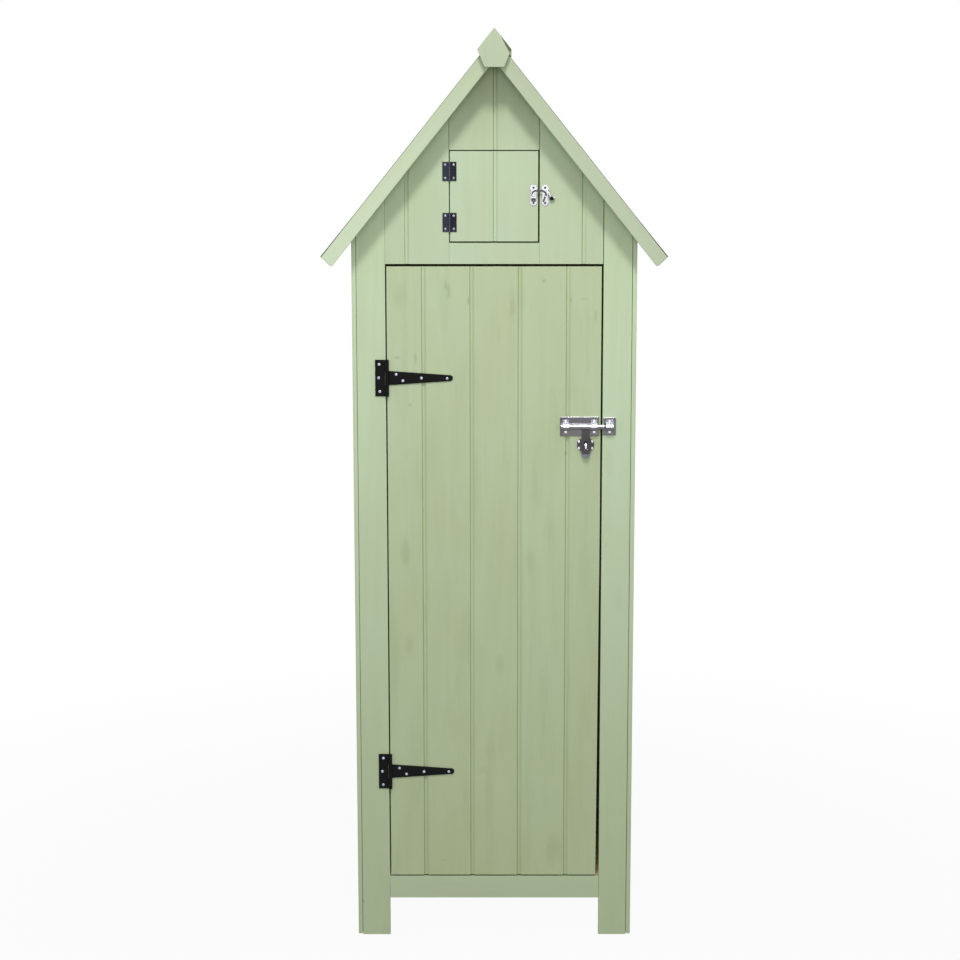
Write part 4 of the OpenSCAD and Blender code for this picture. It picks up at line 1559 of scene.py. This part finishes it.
    def keeper(self) -> None:
        """The keeper's plate on the gable, with the lever that locks the hook down."""
        x, z, out = self.keeper_x, self.latch_z, self.butt_t + self.lever_out
        parts = [self.latch_plate(x), self.boss("boss", x, z, 3.0, out),
                 self.bent("lever", x, ((0.0, 0.0), (5.5, 7.8), (9.8, -1.6), (12.0, -4.0)), out)]
        self.shade_rims(settle(joined("latch_keeper", parts), Finish.SATIN, "hatch_keeper"))
        settle(self.bent("latch_arm", x, ((0.0, -2.5), (-3.2, -11.0)), out - 0.6), Finish.DARK)
        # The black grip is drawn as large as the dark patch at the lever's end: partly the real black tip,
        # partly its shadow put in as a dark solid.
        shape = shifted(x, z, eased([(8.0, -9.0), (10.3, -1.2), (14.4, -3.2), (17.0, -9.0)], 1.2))
        grip = drawn("latch_grip", shape, Plane.XZ, SHED.front - out - 0.4, SHED.front - self.grip_gap)
        settle(crisp(grip, 0.6), Finish.IRON)
        settle(self.boss("latch_knob", x + 17.3, z - 3.4, 1.7, out + 2.0), Finish.BRIGHT)

    def build(self) -> None:
        """Builds the hatch and its fittings."""
        half, (left, right, low, high) = SHED.hatch_half, self.closer
        reach = half - self.ledge_inset
        BoardRun("hatch_planks", "hatch_panel", -half + self.gap - left, half - self.gap_latch + right,
                 SHED.hatch_low + self.gap_foot - low, SHED.hatch_high - self.gap_top + high).build()
        boxes = ledge_boxes(-reach, reach, self.ledge_h, self.ledge_t, self.heights(self.ledge_shares))
        Planks("hatch_ledge_boards", "hatch_ledges", boxes, Way.ACROSS, edge=2.0).build()
        self.hinges()
        self.latch()
        self.keeper()
        spots = [(x, SHED.front - self.butt_t, self.latch_z + side * self.latch_screw)
                 for x in (self.latch_x, self.keeper_x) for side in (-1, 1)]
        settle(SMALL_SCREW.drive("latch_screws", spots), Finish.DARK)


@dataclass(frozen=True)
class Lamp:
    """A soft square lamp; its place is in millimetres and its size in metres."""

    name: str
    place: Solid
    power: float
    size: float


@dataclass
class Studio:
    """Pale floor, soft light, white surroundings and the camera."""

    lens: float = 86.84
    sensor: float = 36.0
    eye: Solid = (0.0, -4643.8, 1755.2)
    tilt: float = 10.519
    shift: float = -14.3 / 960.0
    lamps: Sequence[Lamp] = (Lamp("soft_box_above", (0.0, -2120.0, 3820.0), 48.0, 0.45),
                             Lamp("soft_box_front", (0.0, -3000.0, 2000.0), 13.0, 0.9))
    lamp_aim: Solid = (0.0, 0.0, 1050.0)
    ambient: float = 0.54
    floor_size: float = 24.0
    floor_tone: float = 0.4
    fade: tuple[float, ...] = (0.8, 2.2, 0.95, 1.0)

    @staticmethod
    def seen(sheet: NodeSheet) -> Socket:
        """1 for rays from the camera or off a mirror or through glass, else 0."""
        path = sheet.put("ShaderNodeLightPath").outputs
        shiny = sheet.math("MAXIMUM", path["Is Glossy Ray"], path["Is Transmission Ray"])
        return sheet.math("MAXIMUM", path["Is Camera Ray"], shiny)

    def floor(self) -> None:
        """A plain pale floor that keeps the shed's shadow."""
        bpy.ops.mesh.primitive_plane_add(size=self.floor_size)
        ground = newest("studio_floor")
        skin = Skin("studio_floor")
        pale = skin.put("ShaderNodeBsdfDiffuse", {"Color": (self.floor_tone,) * 3 + (1.0,)})
        white = skin.put("ShaderNodeEmission", {"Color": WHITE, "Strength": 1.0})
        share = skin.math("MULTIPLY", self.seen(skin), skin.ranged(skin.length(skin.place()), *self.fade))
        mix = skin.put("ShaderNodeMixShader", {0: share, 1: pale.outputs[0], 2: white.outputs[0]})
        skin.put("ShaderNodeOutputMaterial", {"Surface": mix.outputs[0]})
        ground.data.materials.append(skin.material)

    def world(self) -> None:
        """White to the camera and in mirrors, a plain grey fill as light."""
        world = bpy.data.worlds.new("studio")
        world.use_nodes = True
        world.node_tree.nodes.clear()
        sheet = NodeSheet(world.node_tree)
        fill, white = (sheet.put("ShaderNodeBackground", {"Color": WHITE, "Strength": strength}).outputs[0]
                       for strength in (self.ambient, 1.0))
        mix = sheet.put("ShaderNodeMixShader", {0: self.seen(sheet), 1: fill, 2: white})
        sheet.put("ShaderNodeOutputWorld", {"Surface": mix.outputs[0]})
        bpy.context.scene.world = world

    def stand(self, name: str, data: bpy.types.ID, spot: Solid) -> Piece:
        """Stands a lamp or the camera in the scene."""
        made = bpy.data.objects.new(name, data)
        made.location = Vector(spot) * MM
        bpy.context.scene.collection.objects.link(made)
        return made

    def light(self) -> None:
        """Both lamps, turned to the shed."""
        for lamp in self.lamps:
            data = bpy.data.lights.new(lamp.name, "AREA")
            data.shape = "SQUARE"
            data.size = lamp.size
            data.energy = lamp.power
            aim = (Vector(self.lamp_aim) - Vector(lamp.place)).to_track_quat("-Z", "Y")
            self.stand(lamp.name, data, lamp.place).rotation_euler = aim.to_euler()

    def camera(self) -> None:
        """The camera where the photograph was taken from."""
        data = bpy.data.cameras.new("camera")
        data.lens = self.lens
        data.sensor_width = self.sensor
        data.shift_x = self.shift
        camera = self.stand("camera", data, self.eye)
        camera.rotation_euler = (math.radians(90.0 - self.tilt), 0.0, 0.0)
        bpy.context.scene.camera = camera

    def build(self) -> None:
        """Sets the studio up."""
        self.floor()
        self.world()
        self.light()
        self.camera()
        bpy.context.scene.view_settings.view_transform = "Standard"


def main() -> None:
    """Builds the shed piece by piece, then the studio round it."""
    logging.basicConfig(level=logging.INFO, format="%(name)s: %(message)s")
    for assembly in (Carcass(), Cladding(), Roof(), Door(), Hatch()):
        assembly.build()
    for screw in (SCREW, SMALL_SCREW):
        screw.put_away()
    Studio().build()


if __name__ == "__main__":
    main()
